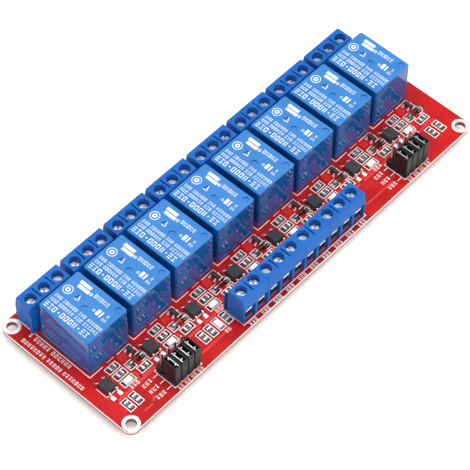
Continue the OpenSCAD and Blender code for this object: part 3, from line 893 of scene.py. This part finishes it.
class Stroke(Enum):
    """Plain marks that stand in for small print."""

    BOX = ((0.06, 0, 0.24, 1), (0.62, 0, 0.8, 1), (0.24, 0, 0.62, 0.17), (0.24, 0.83, 0.62, 1))
    BARS = ((0.08, 0, 0.8, 0.17), (0.08, 0.41, 0.8, 0.58), (0.08, 0.83, 0.8, 1))
    PAIR = ((0.12, 0, 0.3, 1), (0.58, 0, 0.76, 1))
    LIDS = ((0.08, 0.83, 0.8, 1), (0.34, 0.36, 0.58, 0.64), (0.08, 0, 0.8, 0.17))
    SPLIT = ((0.08, 0, 0.26, 1), (0.5, 0, 0.8, 0.32), (0.5, 0.62, 0.8, 0.94))
    TILE = ((0.08, 0.83, 0.8, 1), (0.2, 0.06, 0.7, 0.56))
    SHELF = ((0.08, 0, 0.8, 0.17), (0.12, 0.34, 0.34, 1), (0.54, 0.34, 0.76, 1))
    DOT = ((0.3, 0.35, 0.6, 0.65),)


OPEN_MARKS = (Stroke.BOX, Stroke.PAIR, Stroke.SPLIT, Stroke.TILE, Stroke.SHELF)
CLOSE_MARKS = (Stroke.BOX, Stroke.BARS, Stroke.PAIR, Stroke.SPLIT, Stroke.LIDS, Stroke.SHELF)
LONE_MARK = (Stroke.DOT,)


@dataclass
class Printer:
    """Lays thin ink on a level surface, measured from its own origin."""

    bm: BMesh
    level: float
    x: float = 0.0
    y: float = 0.0
    thickness: float = 0.05
    line: float = 0.24
    mark_step: float = 0.86
    mark_width: float = 0.84

    def at(self, x: float, y: float) -> "Printer":
        """Return a printer like this one with its origin elsewhere."""
        return replace(self, x=x, y=y)

    def bar(self, x0: float, y0: float, x1: float, y1: float) -> None:
        """Print a filled rectangle.

        Args:
            x0: The first corner's x.
            y0: The first corner's y.
            x1: The other corner's x.
            y1: The other corner's y.
        """
        low, high = moved([(min(x0, x1), min(y0, y1)), (max(x0, x1), max(y0, y1))],
                          self.x, self.y)
        add_box(self.bm, (*low, self.level), (*high, self.level + self.thickness))

    def line_to(self, points: Sequence[Point], width: float | None = None) -> None:
        """Print a line through some points."""
        add_strip(self.bm, moved(points, self.x, self.y), width or self.line, self.level,
                  self.thickness)

    def outline(self, x0: float, y0: float, x1: float, y1: float) -> None:
        """Print a rectangle's outline.

        Args:
            x0: The left line's x.
            y0: The front line's y.
            x1: The right line's x.
            y1: The rear line's y.
        """
        half = self.line / 2
        self.bar(x0 - half, y0 - half, x1 + half, y0 + half)
        self.bar(x0 - half, y1 - half, x1 + half, y1 + half)
        self.bar(x0 - half, y0 + half, x0 + half, y1 - half)
        self.bar(x1 - half, y0 + half, x1 + half, y1 - half)

    def ring(self, x: float, y: float, inner: float, outer: float) -> None:
        """Print a ring."""
        add_turned(self.bm, (self.x + x, self.y + y, self.level), [
            (inner, 0), (outer, 0), (outer, self.thickness), (inner, self.thickness)], 28)

    def dot(self, x: float, y: float, radius: float) -> None:
        """Print a filled disc."""
        add_disc(self.bm, (self.x + x, self.y + y, self.level), radius, self.thickness, 20)

    def word(self, start: Point, along: Vector, height: float, marks: int, seed: int,
             kinds: Sequence[Stroke] = OPEN_MARKS) -> float:
        """Print a row of plain marks.

        Args:
            start: The row's near lower corner, as (x, y).
            along: The direction it runs in.
            height: The marks' height.
            marks: How many marks it has.
            seed: Which marks it draws.
            kinds: The marks to draw from.

        Returns:
            The row's length.
        """
        along = along.normalized()
        up = Vector((-along.y, along.x, 0))
        draw = random.Random(seed)
        step = self.mark_step * height
        for n in range(marks):
            origin = Vector((*start, 0)) + along * (n * step)
            for u0, v0, u1, v1 in draw.choice(kinds).value:
                corners = [origin + along * (u * height * self.mark_width) + up * (v * height)
                           for u, v in ((u0, v0), (u1, v1))]
                self.bar(corners[0].x, corners[0].y, corners[1].x, corners[1].y)
        return marks * step


# ---------------------------------------------------------------- the board


@dataclass
class BoardDressing:
    """The bare board with its copper, mask, printed legend and a painted shadow in front of the
    signal terminal.
    """

    # Copper of one column, from its middle on the relays' front edge; each route
    # has its width.
    PATCH = ((1.7, -1.3), (2.5, -0.8), (3.9, -1.1), (4.0, -2.9), (3.0, -3.5), (1.6, -3.3))
    ROUTES = ((((2.6, -2.6), (2.6, -5.0), (1.1, -6.9)), 0.5),
              (((-2.5, -5.6), (-4.0, -4.2), (-5.5, -3.2)), 0.5),
              (((1.4, -7.6), (2.0, -10.4), (6.4, -10.4)), 0.5),
              (((-8.2, -9.6), (-8.2, -11.0), (7.6, -11.0)), 0.7))
    # Copper and spare printed cells that only the whole board has, from its centre.
    EDGE_RUNS = (((-64.0, -22.4), (-60.5, -22.4), (-58.9, -20.8)),
                 ((-55.0, -14.0), (-60.4, -14.0), (-61.0, -14.6)))
    RAILS = (-9.6, 23.9)
    SPARE_CELLS = (-65.7, -62.7, -36.4, -33.4, -30.4, -27.4, 61.8, 65.05)

    layout: Layout
    foil: float = 0.035
    # Height, reach and inset of the painted shadow strip before the signal terminal.
    shadow_rise: float = 0.006
    shadow_beside: float = 0.5
    shadow_under: float = 0.4
    shadow_inset: float = 0.1
    rail_inset: float = 7.5
    run_widths: tuple[float, float, float] = (0.6, 0.7, 3.0)
    run_ends: tuple[float, float] = (18.1, 12.5)
    run_spread: float = 1.15
    edge_reach: float = 2.6
    hole_ring: float = 2.55
    hole_radius: float = 1.6
    hole_inset: tuple[float, float] = (2.7, 2.5)
    hole_gap: float = 0.01
    sleeve: float = 1.54
    sleeve_chamfer: tuple[float, float] = (0.12, 0.1)
    pole_pitch: float = 5.08
    signal_poles: int = 10
    header_pitch: float = 2.54
    header_columns: int = 4
    header_middle: float = 48.1

    def build(self) -> None:
        """Build every piece of the board."""
        self.laminate()
        self.tracks()
        self.paint_terminal_shadow()
        self.hole_rings()
        self.legend()

    def laminate(self) -> None:
        """Dress the board: mask on both faces, bare laminate on its edges."""
        bm = carried_copy("circuit_board")
        for face in bm.faces:
            centre = face.calc_center_median()
            edge = (abs(abs(centre.x) - self.layout.board_high.x) < self.edge_reach
                    or abs(abs(centre.y) - self.layout.board_high.y) < self.edge_reach)
            face.material_index = 1 if abs(face.normal.z) < 0.5 and edge else 0
        finish_piece(bm, "board_laminate", [MASK, LAMINATE],
                     replaces=["circuit_board"])

    def corners(self) -> list[Point]:
        """Work out where the mounting holes are.

        Returns:
            Their centres.
        """
        inset_x, inset_y = self.hole_inset
        half_x = self.layout.board_high.x - inset_x
        half_y = self.layout.board_high.y - inset_y
        return [(sx * half_x, sy * half_y) for sx in (-1, 1) for sy in (-1, 1)]

    def tracks(self) -> None:
        """Raise the mask where copper runs under it."""
        bm = bmesh.new()
        top, front = self.layout.top, self.layout.relay_low_y
        for c in self.layout.columns:
            self._patch(bm, moved(self.PATCH, c, front))
            for points, width in self.ROUTES:
                add_strip(bm, moved(points, c, front), width, top, self.foil)
        narrow, middling, wide = self.run_widths
        rear, fore = self.run_ends
        left = self.layout.board_low.x + self.rail_inset
        right = self.layout.board_high.x - self.rail_inset
        for rail in self.RAILS:
            add_strip(bm, [(left, rail), (right, rail)], middling, top, self.foil)
        bottom = self.layout.board_low.z - self.foil
        for c, x in zip(self.layout.columns, self.layout.relay_x):
            for lane in (-self.pole_pitch, 0.0, self.pole_pitch):
                add_strip(bm, [(c + lane, rear), (x + self.run_spread * lane, fore)], wide,
                          bottom, self.foil)
        runs = [((side * near, y), (side * 40.8, y), (side * 41.8, y + 1))
                for side in (-1, 1) for near, y in ((28.5, -21.2), (31.5, -14.2))]
        for points in (*runs, *self.EDGE_RUNS):
            add_strip(bm, points, narrow, top, self.foil)
        finish_piece(bm, "masked_tracks", [TRACK_MASK])

    def paint_terminal_shadow(self) -> None:
        """Paint a shadow on the mask in front of the signal terminal, as a darker strip."""
        bm = bmesh.new()
        top = self.layout.top
        left, right = node_box("input_terminal_1")[0], node_box("input_terminal_4")[1]
        front = self.layout.board_low.y + self.shadow_inset
        add_box(bm, (left.x - self.shadow_beside, front, top),
                (right.x + self.shadow_beside, left.y + self.shadow_under, top + self.shadow_rise))
        finish_piece(bm, "terminal_painted_shadow", [PAINTED_SHADOW_MASK])

    def _patch(self, bm: BMesh, corners: Sequence[Point]) -> None:
        """Raise a flat area of copper.

        Args:
            bm: The mesh to add to.
            corners: Its outline.
        """
        floor = bm.faces.new([bm.verts.new((*corner, self.layout.top)) for corner in corners])
        raised = bmesh.ops.extrude_face_region(bm, geom=[floor])["geom"]
        verts = [item for item in raised if isinstance(item, BMVert)]
        bmesh.ops.translate(bm, verts=verts, vec=(0, 0, self.foil))
        faces = {face for vert in verts for face in vert.link_faces}
        bmesh.ops.recalc_face_normals(bm, faces=list(faces))

    def hole_rings(self) -> None:
        """Plate the mounting holes, their walls dark red with painted shade and painted
        reflection of the mask, and tin the rings round them.
        """
        bm = bmesh.new()
        low, high = self.layout.board_low.z - self.foil, self.layout.top + self.foil
        wall = self.hole_radius - self.hole_gap
        width, depth = self.sleeve_chamfer
        for corner in self.corners():
            add_turned(bm, (*corner, 0), [
                (self.sleeve, low), (self.hole_ring, low), (self.hole_ring, low + self.foil),
                (wall, low + self.foil), (wall, high - self.foil),
                (self.hole_ring, high - self.foil), (self.hole_ring, high),
                (self.sleeve + width, high), (self.sleeve, high - depth)])
        for face in bm.faces:
            centre = face.calc_center_median().xy
            reach = min((centre - Vector(corner)).length for corner in self.corners())
            # Walls inside the holes take the painted shade and reflection.
            if reach < self.sleeve + 2 * self.hole_gap and abs(face.normal.z) < 0.5:
                face.material_index = 1
        finish_piece(bm, "hole_rings", [RING_TIN, HOLE_WALL_PAINTED_SHADE])

    def legend(self) -> None:
        """Print the outlines and plain marks on the board."""
        bm = bmesh.new()
        ink = Printer(bm, self.layout.top, mark_step=0.94, mark_width=0.8)
        for number, c in enumerate(self.layout.columns):
            self._column_legend(ink.at(c, self.layout.relay_low_y), number)
        for side in (-1, 1):
            self._header_legend(ink.at(side * self.header_middle, 0.0))
        self._terminal_legend(ink)
        for x in self.SPARE_CELLS:
            ink.outline(x - 1.05, -20.0, x + 1.05, -15.95)
        ink.word((-30.9, -21.7), Axis.X.value, 1.1, 2, 5)
        title = ((3.5, 17.1, 1.3, 0.6, ((1, 40), (5, 41), (6, 42))),
                 (1.05, 17.4, 1.2, 0.5, ((8, 43), (5, 44), (7, 45))))
        for inset, spot, height, gap, words in title:
            for marks, seed in words:
                start = (self.layout.board_low.x + inset, spot)
                spot -= ink.word(start, -Axis.Y.value, height, marks, seed) + gap
        finish_piece(bm, "board_legend", [INK])

    def _terminal_legend(self, ink: Printer) -> None:
        """Print the signal terminal's outline and a mark at each of its poles.

        Args:
            ink: The printer, with its origin at the board's.
        """
        low, high = node_box("input_terminal_1")[0], node_box("input_terminal_4")[1]
        left, front = low.x + 0.3, low.y
        right = left + self.signal_poles * self.pole_pitch
        ink.outline(left - 0.25, front - 0.1, right + 0.25, high.y + 0.3)
        for pole in range(self.signal_poles):
            x = left + (pole + 0.5) * self.pole_pitch
            ink.word((x - 1.6, front - 1.55), Axis.X.value, 1.15, 3, pole)

    def _column_legend(self, ink: Printer, number: int) -> None:
        """Print one relay column's outlines.

        Args:
            ink: The printer, at the column's middle on the relays' front edge.
            number: The column's index.
        """
        ink.bar(-7.97, -0.67, -3.0, -0.43)
        ink.bar(2.3, -0.67, 7.2, -0.43)
        ink.bar(-7.97, -0.55, -7.73, 27.25)
        ink.outline(-3.5, -3.8, 0.5, -1.6)
        ink.outline(-3.5, -6.75, 0.5, -4.55)
        ink.outline(2.9, -9.7, 6.9, -7.5)
        ink.outline(-3.6, -9.6, 0.7, -7.5)
        ink.word((-2.7, -11.3), Axis.X.value, 1.2, 3, number)
        ink.outline(1.4, -6.9, 3.7, -4.3)
        ink.line_to([(5.6, -4.1), (7.2, -4.1), (7.9, -4.9), (7.9, -6.2), (7.2, -6.9),
                     (5.6, -6.9)])
        ink.bar(7.0, -1.6, 7.2, -0.5)
        ink.bar(7.0, -4.0, 7.2, -2.8)
        ink.line_to([(-9.19, -4.2), (-9.19, -8.2), (-8.1, -8.2)])
        ink.line_to([(-7.3, -8.2), (-5.0, -8.2)])
        ink.bar(-1.3, -0.5, 1.4, -0.38)
        ink.dot(-8.2, -2.4, 0.3)

    def _header_legend(self, ink: Printer) -> None:
        """Print a jumper header's outline, its leaders and its columns' marks.

        Args:
            ink: The printer, at the header's middle along the board.
        """
        ink.outline(-5.2, -23.4, 5.2, -15.7)
        for row, y in enumerate((-17.0, -19.6, -22.2)):
            length = ink.word((-11.0, y - 0.6), Axis.X.value, 1.25, 3, 7 + row)
            ink.bar(length - 10.6, y - 0.12, -5.2, y + 0.12)
        for column in range(self.header_columns):
            lane = (column - (self.header_columns - 1) / 2) * self.header_pitch
            ink.word((lane - 1.0, -24.9), Axis.X.value, 1.1, 2, int(10 * lane) + 99)


# --------------------------------------------------------------- the relays


@dataclass
class RelayDressing:
    """Covers, bases, print and works of the eight relays."""

    layout: Layout
    top_band: float = 0.6
    spring_half: float = 2.3
    wire_pitch: float = 0.3
    wire_bulge: float = 0.08
    winding_depth: float = 1.5

    def build(self) -> None:
        """Build every piece of the relays."""
        for number in self.layout.relay_numbers:
            self.cover(number)
            self.marks(number)
            dress_whole(f"relay_base_{number}", f"base_{number}", RELAY_BASE)
            self.armature(number)
        dress_whole("relay_yokes", "yokes", YOKE_STEEL)
        dress_whole("relay_bobbins", "bobbins", BOBBIN)
        self.windings()
        dress_whole("relay_contacts", "relay_pins", CONTACT)

    def cover(self, number: int) -> None:
        """Dress a cover: grained top, clear polished sides.

        Args:
            number: The relay's number.
        """
        node = f"relay_cover_{number}"
        bm = carried_copy(node)
        level = self.layout.relay_top - self.top_band
        paint((face for face in bm.faces
               if face.normal.z > 0.3 and face.calc_center_median().z > level), 1)
        finish_piece(bm, f"cover_{number}", [COVER_SIDE, COVER_TOP],
                     replaces=[node])

    def marks(self, number: int) -> None:
        """Print plain marks where a relay carries its ratings.

        Args:
            number: The relay's number.
        """
        bm = bmesh.new()
        ink = Printer(bm, self.layout.relay_top, self.layout.relay_x[number - 1],
                      self.layout.relay_middle_y, thickness=0.02)
        back = -Axis.Y.value
        spot = 8.5
        for marks, seed, kinds in ((3, 1, CLOSE_MARKS), (1, 9, LONE_MARK), (4, 2, CLOSE_MARKS),
                                   (1, 9, LONE_MARK), (2, 3, CLOSE_MARKS)):
            spot -= ink.word((-6.6, spot), back, 1.72, marks, seed, kinds)
        for row, x in enumerate((-4.2, -2.55)):
            for half, start in enumerate((8.3, -0.6)):
                seed = 4 * row + half
                first = ink.word((x, start), back, 1.02, 3, seed, CLOSE_MARKS)
                ink.word((x, start - first - 0.5), back, 1.02, 6, seed + 2, CLOSE_MARKS)
        ink.ring(1.3, 6.9, 1.25, 1.5)
        ink.ring(1.3, 6.9, 0.3, 0.75)
        ink.line_to([(0.4, 3.9), (2.3, 3.1), (0.4, 2.3), (0.4, 3.9), (2.3, 3.1)], 0.28)
        ink.bar(3.6, 1.9, 4.7, 5.9)
        ink.bar(5.0, 2.3, 6.1, 6.3)
        ink.ring(4.3, 1.2, 0.25, 0.5)
        ink.word((4.2, 0.3), back, 1.25, 5, 31, CLOSE_MARKS)
        ink.ring(1.2, -2.9, 0.25, 0.42)
        ink.bar(0.5, -3.7, 2.5, -4.7)
        ink.bar(0.5, -5.1, 2.5, -5.6)
        ink.word((0.2, -6.3), back, 0.9, 2, 33)
        ink.word((1.7, -6.8), back, 0.9, 1, 34)
        finish_piece(bm, f"cover_marks_{number}", [PRINT])

    def armature(self, number: int) -> None:
        """Dress an armature: steel plate, copper-alloy spring and rivets.

        Args:
            number: The relay's number.
        """
        node = f"relay_armature_{number}"
        bm = carried_copy(node)
        low, high = node_box(node)
        middle = (low.x + high.x) / 2
        paint((face for face in bm.faces if face.normal.z > 0.3
               and abs(face.calc_center_median().x - middle) < self.spring_half), 1)
        finish_piece(bm, f"armature_{number}", [YOKE_STEEL, SPRING_METAL],
                     body=f"armature_{number}", replaces=[node])

    def windings(self) -> None:
        """Wind the coils: a ridge for each turn of the outer layer."""
        bm = bmesh.new()
        for solid in islands(carried_copy("relay_windings")):
            height, radius = solid.size.z, solid.size.x / 2
            inner, valley = radius - self.winding_depth, radius - self.wire_bulge
            turns = round(height / self.wire_pitch)
            profile = [(inner, 0.0)]
            for n in range(turns):
                z = n * height / turns
                profile += [(valley, z + 0.001), (radius, z + height / turns / 2)]
            profile += [(valley, height), (inner, height)]
            add_turned(bm, (solid.centre.x, solid.centre.y, solid.low.z), profile, 28)
        finish_piece(bm, "windings", [COPPER_WIRE], replaces=["relay_windings"],
                     smooth_angle=70)


# -------------------------------------------------------- the screw terminals


@dataclass
class TerminalDressing:
    """Housings, screws, clamps and pins of the screw terminals."""

    layout: Layout
    edge_round: float = 0.12
    metal_round: float = 0.05
    input_blocks: int = 4
    wall_inset: float = 0.8
    wall_drop: float = 1.8
    sill: float = 0.9
    mouth_drop: float = 3.0

    def build(self) -> None:
        """Build every piece of the terminals."""
        for number in self.layout.relay_numbers:
            self.housing(f"output_terminal_{number}", f"output_housing_{number}", 1)
        for number in range(1, self.input_blocks + 1):
            self.housing(f"input_terminal_{number}", f"input_housing_{number}", -1)
        dress_whole("terminal_screws", "screws", ZINC, self.metal_round)
        # The clamps' steel is darkened as painted shade.
        dress_whole("terminal_clamps", "clamps", CLAMP_STEEL_PAINTED_SHADE)
        dress_whole("terminal_pins", "tongues", SOLDER, self.metal_round)

    def housing(self, node: str, name: str, facing: int) -> None:
        """Dress a housing: deep mouths and slightly round moulded edges.

        Args:
            node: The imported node.
            name: The piece's name.
            facing: 1 if its mouths face the back of the board, -1 if the front.
        """
        bm = carried_copy(node)
        low, high = node_box(node)
        wall = (high.y if facing > 0 else low.y) - facing * self.wall_inset
        bmesh.ops.bisect_plane(bm, geom=[*bm.verts, *bm.edges, *bm.faces], dist=0.0005,
                               plane_co=(0, 0, low.z + self.sill), plane_no=Axis.Z.value)
        deep = [v for v in bm.verts if abs(v.co.y - wall) < 0.02
                and low.z + self.sill / 2 < v.co.z < high.z - self.mouth_drop]
        bmesh.ops.translate(bm, verts=deep, vec=(0, -facing * self.wall_drop, 0))
        soften(bm, sharp_edges(bm, 1.0), self.edge_round)
        finish_piece(bm, name, [HOUSING], replaces=[node], rounded=True)


# --------------------------------------------------------------- the jumpers


@dataclass
class JumperDressing:
    """Headers, pins and the eight pull-off caps."""

    cap_count: int = 8
    header_round: float = 0.08
    clip_width: float = 0.5

    def build(self) -> None:
        """Build every piece of the jumpers."""
        dress_whole("jumper_headers", "headers", BLACK, self.header_round, 0.5)
        dress_whole("header_pins", "header_pins_gilt", PIN_PLATE)
        for number in range(1, self.cap_count + 1):
            self.cap(number)

    def cap(self, number: int) -> None:
        """Dress a cap: black shell, bright clip.

        Args:
            number: The cap's number.
        """
        node = f"jumper_cap_{number}"
        bm = carried_copy(node)
        for solid in islands(bm):
            if solid.size.x < self.clip_width:
                paint(solid.faces, 1)
        finish_piece(bm, f"cap_{number}", [BLACK, PIN_PLATE],
                     body=f"jumper_{number}", replaces=[node])


# ----------------------------------------------------------- the small parts


@dataclass
class SmallPartsDressing:
    """Surface-mounted parts with their pads, solder and painted shade round them."""

    layout: Layout
    mound: float = 0.26
    mound_taper: float = 0.72
    mound_round: float = 0.1
    # Cells are dark boxes of painted shade round the parts.
    cell_half: tuple[float, float] = (1.86, 0.93)
    cell_height: float = 0.045
    diode_cell: tuple[float, float] = (0.98, 1.12)
    diode_scale: float = 0.76
    diode_glass: float = 0.55
    diode_cell_inset: float = 0.42
    diode_solder: tuple[float, float] = (-0.9, 0.35)
    diode_solder_half: float = 0.7
    diode_solder_rise: float = 0.3
    fillet_reach: float = 0.45
    fillet_rise: float = 0.7
    foot_span: float = 1.2
    toe: float = 0.35
    rear_share: float = 0.6
    glaze_share: float = 0.6
    lens_share: float = 0.7
    mark_sink: float = 0.03
    mark_height: float = 0.6

    def build(self) -> None:
        """Build every small part."""
        self.leaded("optocouplers", "optocoupler_set", Axis.Y, 2.0, Vector((0.62, 0.78, 0)), True)
        self.leaded("transistors", "transistor_set", Axis.X, 0.65, Vector((0.32, 0.36, 0)), False)
        self.resistors()
        self.lights()
        self.diodes()
        dress_whole("solder_joints", "joints", SOLDER)

    def leaded(self, node: str, name: str, along: Axis, body_half: float,
               pad_half: Vector, dull_rear: bool) -> None:
        """Dress moulded bodies and their tinned leads, with solder at each foot.

        Args:
            node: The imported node.
            name: The piece's name.
            along: The direction that the leads stand out in.
            body_half: Half of the body's length that way.
            pad_half: Half of a pad's length and width.
            dull_rear: Whether the far pads are small and dull.
        """
        bm = carried_copy(node)
        solder = bmesh.new()
        top = self.layout.top
        for chip in islands(bm):
            leads = [face for face in chip.faces if abs(
                (face.calc_center_median() - chip.centre).dot(along.value)) > body_half + 0.01]
            paint(leads, 1)
            low = {tuple(v.co.to_2d()) for face in leads for v in face.verts
                   if v.co.z < top + 0.05}
            for foot in clusters([Vector((*point, top)) for point in low], self.foot_span):
                middle = sum(foot, Vector()) / len(foot)
                sign = math.copysign(1, (middle - chip.centre).dot(along.value))
                rear = dull_rear and sign > 0
                half = pad_half * self.rear_share if rear else pad_half
                before = set(solder.faces)
                self._solder_foot(solder, middle + along.value * sign * self.toe, half)
                paint((face for face in solder.faces if face not in before), int(rear))
        finish_piece(bm, name, [COMPOUND, TIN], replaces=[node])
        finish_piece(solder, f"{name}_solder", [SOLDER, DULL_SOLDER], rounded=True)

    def _solder_foot(self, solder: BMesh, middle: Vector, half: Vector) -> None:
        """Raise a low mound of solder on a pad.

        Args:
            solder: The mesh to add to.
            middle: The pad's middle, on the board.
            half: Half of the pad's length and width.
        """
        mound = add_box(solder, middle - half, middle + half + Vector((0, 0, self.mound)))
        crown = [v for v in mound if v.co.z > middle.z + self.mound / 2]
        bmesh.ops.scale(solder, vec=(self.mound_taper, self.mound_taper, 1), verts=crown,
                        space=Matrix.Translation(-middle))
        rim = {edge for vert in mound for edge in vert.link_edges
               if any(v in crown for v in edge.verts)}
        soften(solder, rim, self.mound_round)

    def resistors(self) -> None:
        """Dress the chip resistors: ceramic, glaze, tinned ends, fillets and painted shade round
        each.
        """
        bm = carried_copy("chip_resistors")
        solder, marks, shade = bmesh.new(), bmesh.new(), bmesh.new()
        ink = Printer(marks, node_box("chip_resistors")[1].z - self.mark_sink)
        for chip in islands(bm):
            along = chip.long_axis.value
            half = chip.size.dot(along) / 2
            for face in chip.faces:
                offset = abs((face.calc_center_median() - chip.centre).dot(along))
                if offset > self.glaze_share * half - 0.02 or len(face.verts) > 6:
                    face.material_index = 1
                elif face.normal.z < 0.5:
                    face.material_index = 2
            self._seat(solder, shade, chip)
            up = Vector((-along.y, along.x, 0))
            start = chip.centre - along * 0.5 - up * self.mark_height / 2
            ink.word((start.x, start.y), along, self.mark_height, 2, len(marks.verts))
        finish_piece(bm, "resistor_set", [GLAZE, TIN, CERAMIC],
                     replaces=["chip_resistors"])
        finish_piece(marks, "resistor_marks", [CHIP_INK])
        finish_piece(solder, "resistor_solder", [DULL_SOLDER])
        finish_piece(shade, "resistor_painted_shade", [PAINTED_SHADE])

    def _cell(self, shade: BMesh, middle: Vector, reach: Vector) -> None:
        """Paint shade on a rectangle of the board.

        Args:
            shade: The mesh to add to.
            middle: Its middle, at any height.
            reach: Half of its length and width.
        """
        middle = Vector((middle.x, middle.y, self.layout.top))
        add_box(shade, middle - reach, middle + reach + Vector((0, 0, self.cell_height)))

    def _seat(self, solder: BMesh, shade: BMesh, chip: Island) -> None:
        """Solder both ends of a part and paint shade on the board round it.

        Args:
            solder: The mesh of solder to add to.
            shade: The mesh of painted shade cells to add to.
            chip: The part.
        """
        along, across = chip.long_axis.value, chip.long_axis.across
        half, width, top = chip.size.dot(along) / 2, chip.size.dot(across) / 2, self.layout.top
        for sign in (-1, 1):
            end = chip.centre + along * sign * half
            far = end + along * sign * self.fillet_reach
            corners = [end - across * width, far + across * width]
            low = [min(c[k] for c in corners) for k in range(2)]
            high = [max(c[k] for c in corners) for k in range(2)]
            add_fillet(solder, (*low, top), (*high, top + self.fillet_rise * chip.size.z),
                       along * sign)
        self._cell(shade, chip.centre, along * self.cell_half[0] + across * self.cell_half[1])

    def lights(self) -> None:
        """Dress the indicator lights: white base, plated ends, a pale block with a painted glow,
        and painted shade round each.
        """
        bm = carried_copy("indicator_leds")
        solder, shade = bmesh.new(), bmesh.new()
        for light in islands(bm):
            along = light.long_axis.value
            half = light.size.dot(along) / 2
            for face in light.faces:
                centre = face.calc_center_median()
                offset = abs((centre - light.centre).dot(along))
                if centre.z > light.low.z + light.size.z / 3 + 0.01:
                    face.material_index = 1
                elif offset > self.lens_share * half:
                    face.material_index = 2
            self._seat(solder, shade, light)
        finish_piece(bm, "light_set", [CERAMIC, LENS_PAINTED_GLOW, TIN],
                     replaces=["indicator_leds"])
        finish_piece(solder, "light_solder", [DULL_SOLDER])
        finish_piece(shade, "light_painted_shade", [PAINTED_SHADE])

    def diodes(self) -> None:
        """Dress the diodes: glass tube, caps darkened as a painted dark reflection, solder and
        painted shade round each.
        """
        bm = carried_copy("diodes")
        solder, shade = bmesh.new(), bmesh.new()
        top = self.layout.top
        for diode in islands(bm):
            middle, half = diode.centre, diode.size.x / 2
            verts = {v for face in diode.faces for v in face.verts}
            bmesh.ops.scale(bm, vec=(1, self.diode_scale, self.diode_scale), verts=list(verts),
                            space=Matrix.Translation((0, -middle.y, -top)))
            paint((face for face in diode.faces
                   if abs(face.calc_center_median().x - middle.x) > self.diode_glass * half), 1)
            for sign in (-1, 1):
                spot = middle + Axis.X.value * sign * (half - self.diode_cell_inset)
                self._cell(shade, spot, Vector((*self.diode_cell, 0)))
                x0, x1 = sorted(middle.x + sign * (half + end) for end in self.diode_solder)
                y0, y1 = middle.y - self.diode_solder_half, middle.y + self.diode_solder_half
                add_fillet(solder, (x0, y0, top), (x1, y1, top + self.diode_solder_rise),
                           Axis.X.value * sign)
        finish_piece(bm, "diode_set", [DIODE_GLASS, DIODE_CAP_PAINTED_REFLECTION],
                     replaces=["diodes"], smooth_angle=40)
        finish_piece(solder, "diode_solder", [SOLDER])
        finish_piece(shade, "diode_painted_shade", [PAINTED_SHADE])


# ------------------------------------------------------------------- studio


@dataclass
class Studio:
    """White floor, soft lamps and the camera."""

    aim: Vector = field(default_factory=lambda: Vector((-8.615, -4.088, 8.0)))
    azimuth: float = -49.14
    elevation: float = 53.86
    roll: float = 1.823
    distance: float = 583.98
    lens: float = 161.23
    floor_size: float = 3000.0
    floor_gap: float = 0.02
    sky_glow: float = 0.66

    def build(self) -> None:
        """Build the studio."""
        self.floor()
        self.lamps()
        self.sky()
        self.camera()

    def floor(self) -> None:
        """Lay the floor just under the lowest lead."""
        low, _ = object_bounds()
        bm = bmesh.new()
        bmesh.ops.create_grid(
            bm, x_segments=1, y_segments=1, size=metres(self.floor_size) / 2,
            matrix=Matrix.Translation((0, 0, low[2] - metres(self.floor_gap))))
        add_mesh(bm, "floor", [FLOOR])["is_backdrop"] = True

    def lamp(self, name: str, place: Sequence[float], size: Sequence[float],
             power: float) -> None:
        """Hang a soft lamp that faces the board.

        Args:
            name: Its name.
            place: Where it hangs, in millimetres.
            size: Its width and height in millimetres.
            power: Its power in watts.
        """
        data = bpy.data.lights.new(name, "AREA")
        data.shape = "RECTANGLE"
        data.size, data.size_y = metres(size[0]), metres(size[1])
        data.energy = power
        lamp = add_object(name, data)
        lamp.location = Vector(place) * MM
        lamp.rotation_euler = (-lamp.location).to_track_quat("-Z", "Y").to_euler()

    def lamps(self) -> None:
        """Hang the lamps."""
        self.lamp("overhead", (60, 60, 700), (700, 700), 3.3)
        self.lamp("left", (-700, -150, 380), (500, 400), 0.36)
        self.lamp("right", (180, -620, 420), (400, 400), 1.1)
        self.lamp("key", (300, -330, 640), (90, 90), 0.4)

    def sky(self) -> None:
        """Light the board evenly and show white behind it."""
        world = bpy.data.worlds.new("sky")
        bpy.context.scene.world = world
        world.use_nodes = True
        maker = NodeMaker(world.node_tree)
        shade = maker.tree.nodes["Background"]
        rays = maker.node("ShaderNodeLightPath")
        mix = maker.node("ShaderNodeMapRange")
        maker.link(rays.outputs["Is Camera Ray"], mix.inputs["Value"])
        maker.link(mix.outputs["Result"], shade.inputs["Strength"])
        maker.preset(mix, To_Min=self.sky_glow, To_Max=1.0)
        maker.preset(shade, Color=(1, 1, 1, 1))

    def camera(self) -> None:
        """Set the camera."""
        turn, rise = math.radians(self.azimuth), math.radians(self.elevation)
        back = Vector((math.sin(turn) * math.cos(rise), -math.cos(turn) * math.cos(rise),
                       math.sin(rise)))
        level = Axis.Z.value.cross(back).normalized()
        upright = back.cross(level)
        tilt = math.radians(self.roll)
        right = level * math.cos(tilt) + upright * math.sin(tilt)
        up = back.cross(right)
        data = bpy.data.cameras.new("camera")
        data.lens = self.lens
        data.sensor_width = 36
        data.clip_end = 10
        camera = add_object("camera", data)
        turned = Matrix((right, up, back)).transposed().to_4x4()
        camera.matrix_world = Matrix.Translation(
            (self.aim + back * self.distance) * MM) @ turned
        bpy.context.scene.camera = camera


# --------------------------------------------------------------------- main


def main() -> None:
    """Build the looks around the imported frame."""
    logging.basicConfig(level=logging.INFO, format="%(message)s")
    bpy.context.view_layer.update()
    layout = Layout()
    for sub_assembly in (BoardDressing(layout), RelayDressing(layout), TerminalDressing(layout),
                         JumperDressing(), SmallPartsDressing(layout), Studio()):
        sub_assembly.build()
    bpy.context.scene.view_settings.view_transform = "Standard"


if __name__ == "__main__":
    main()
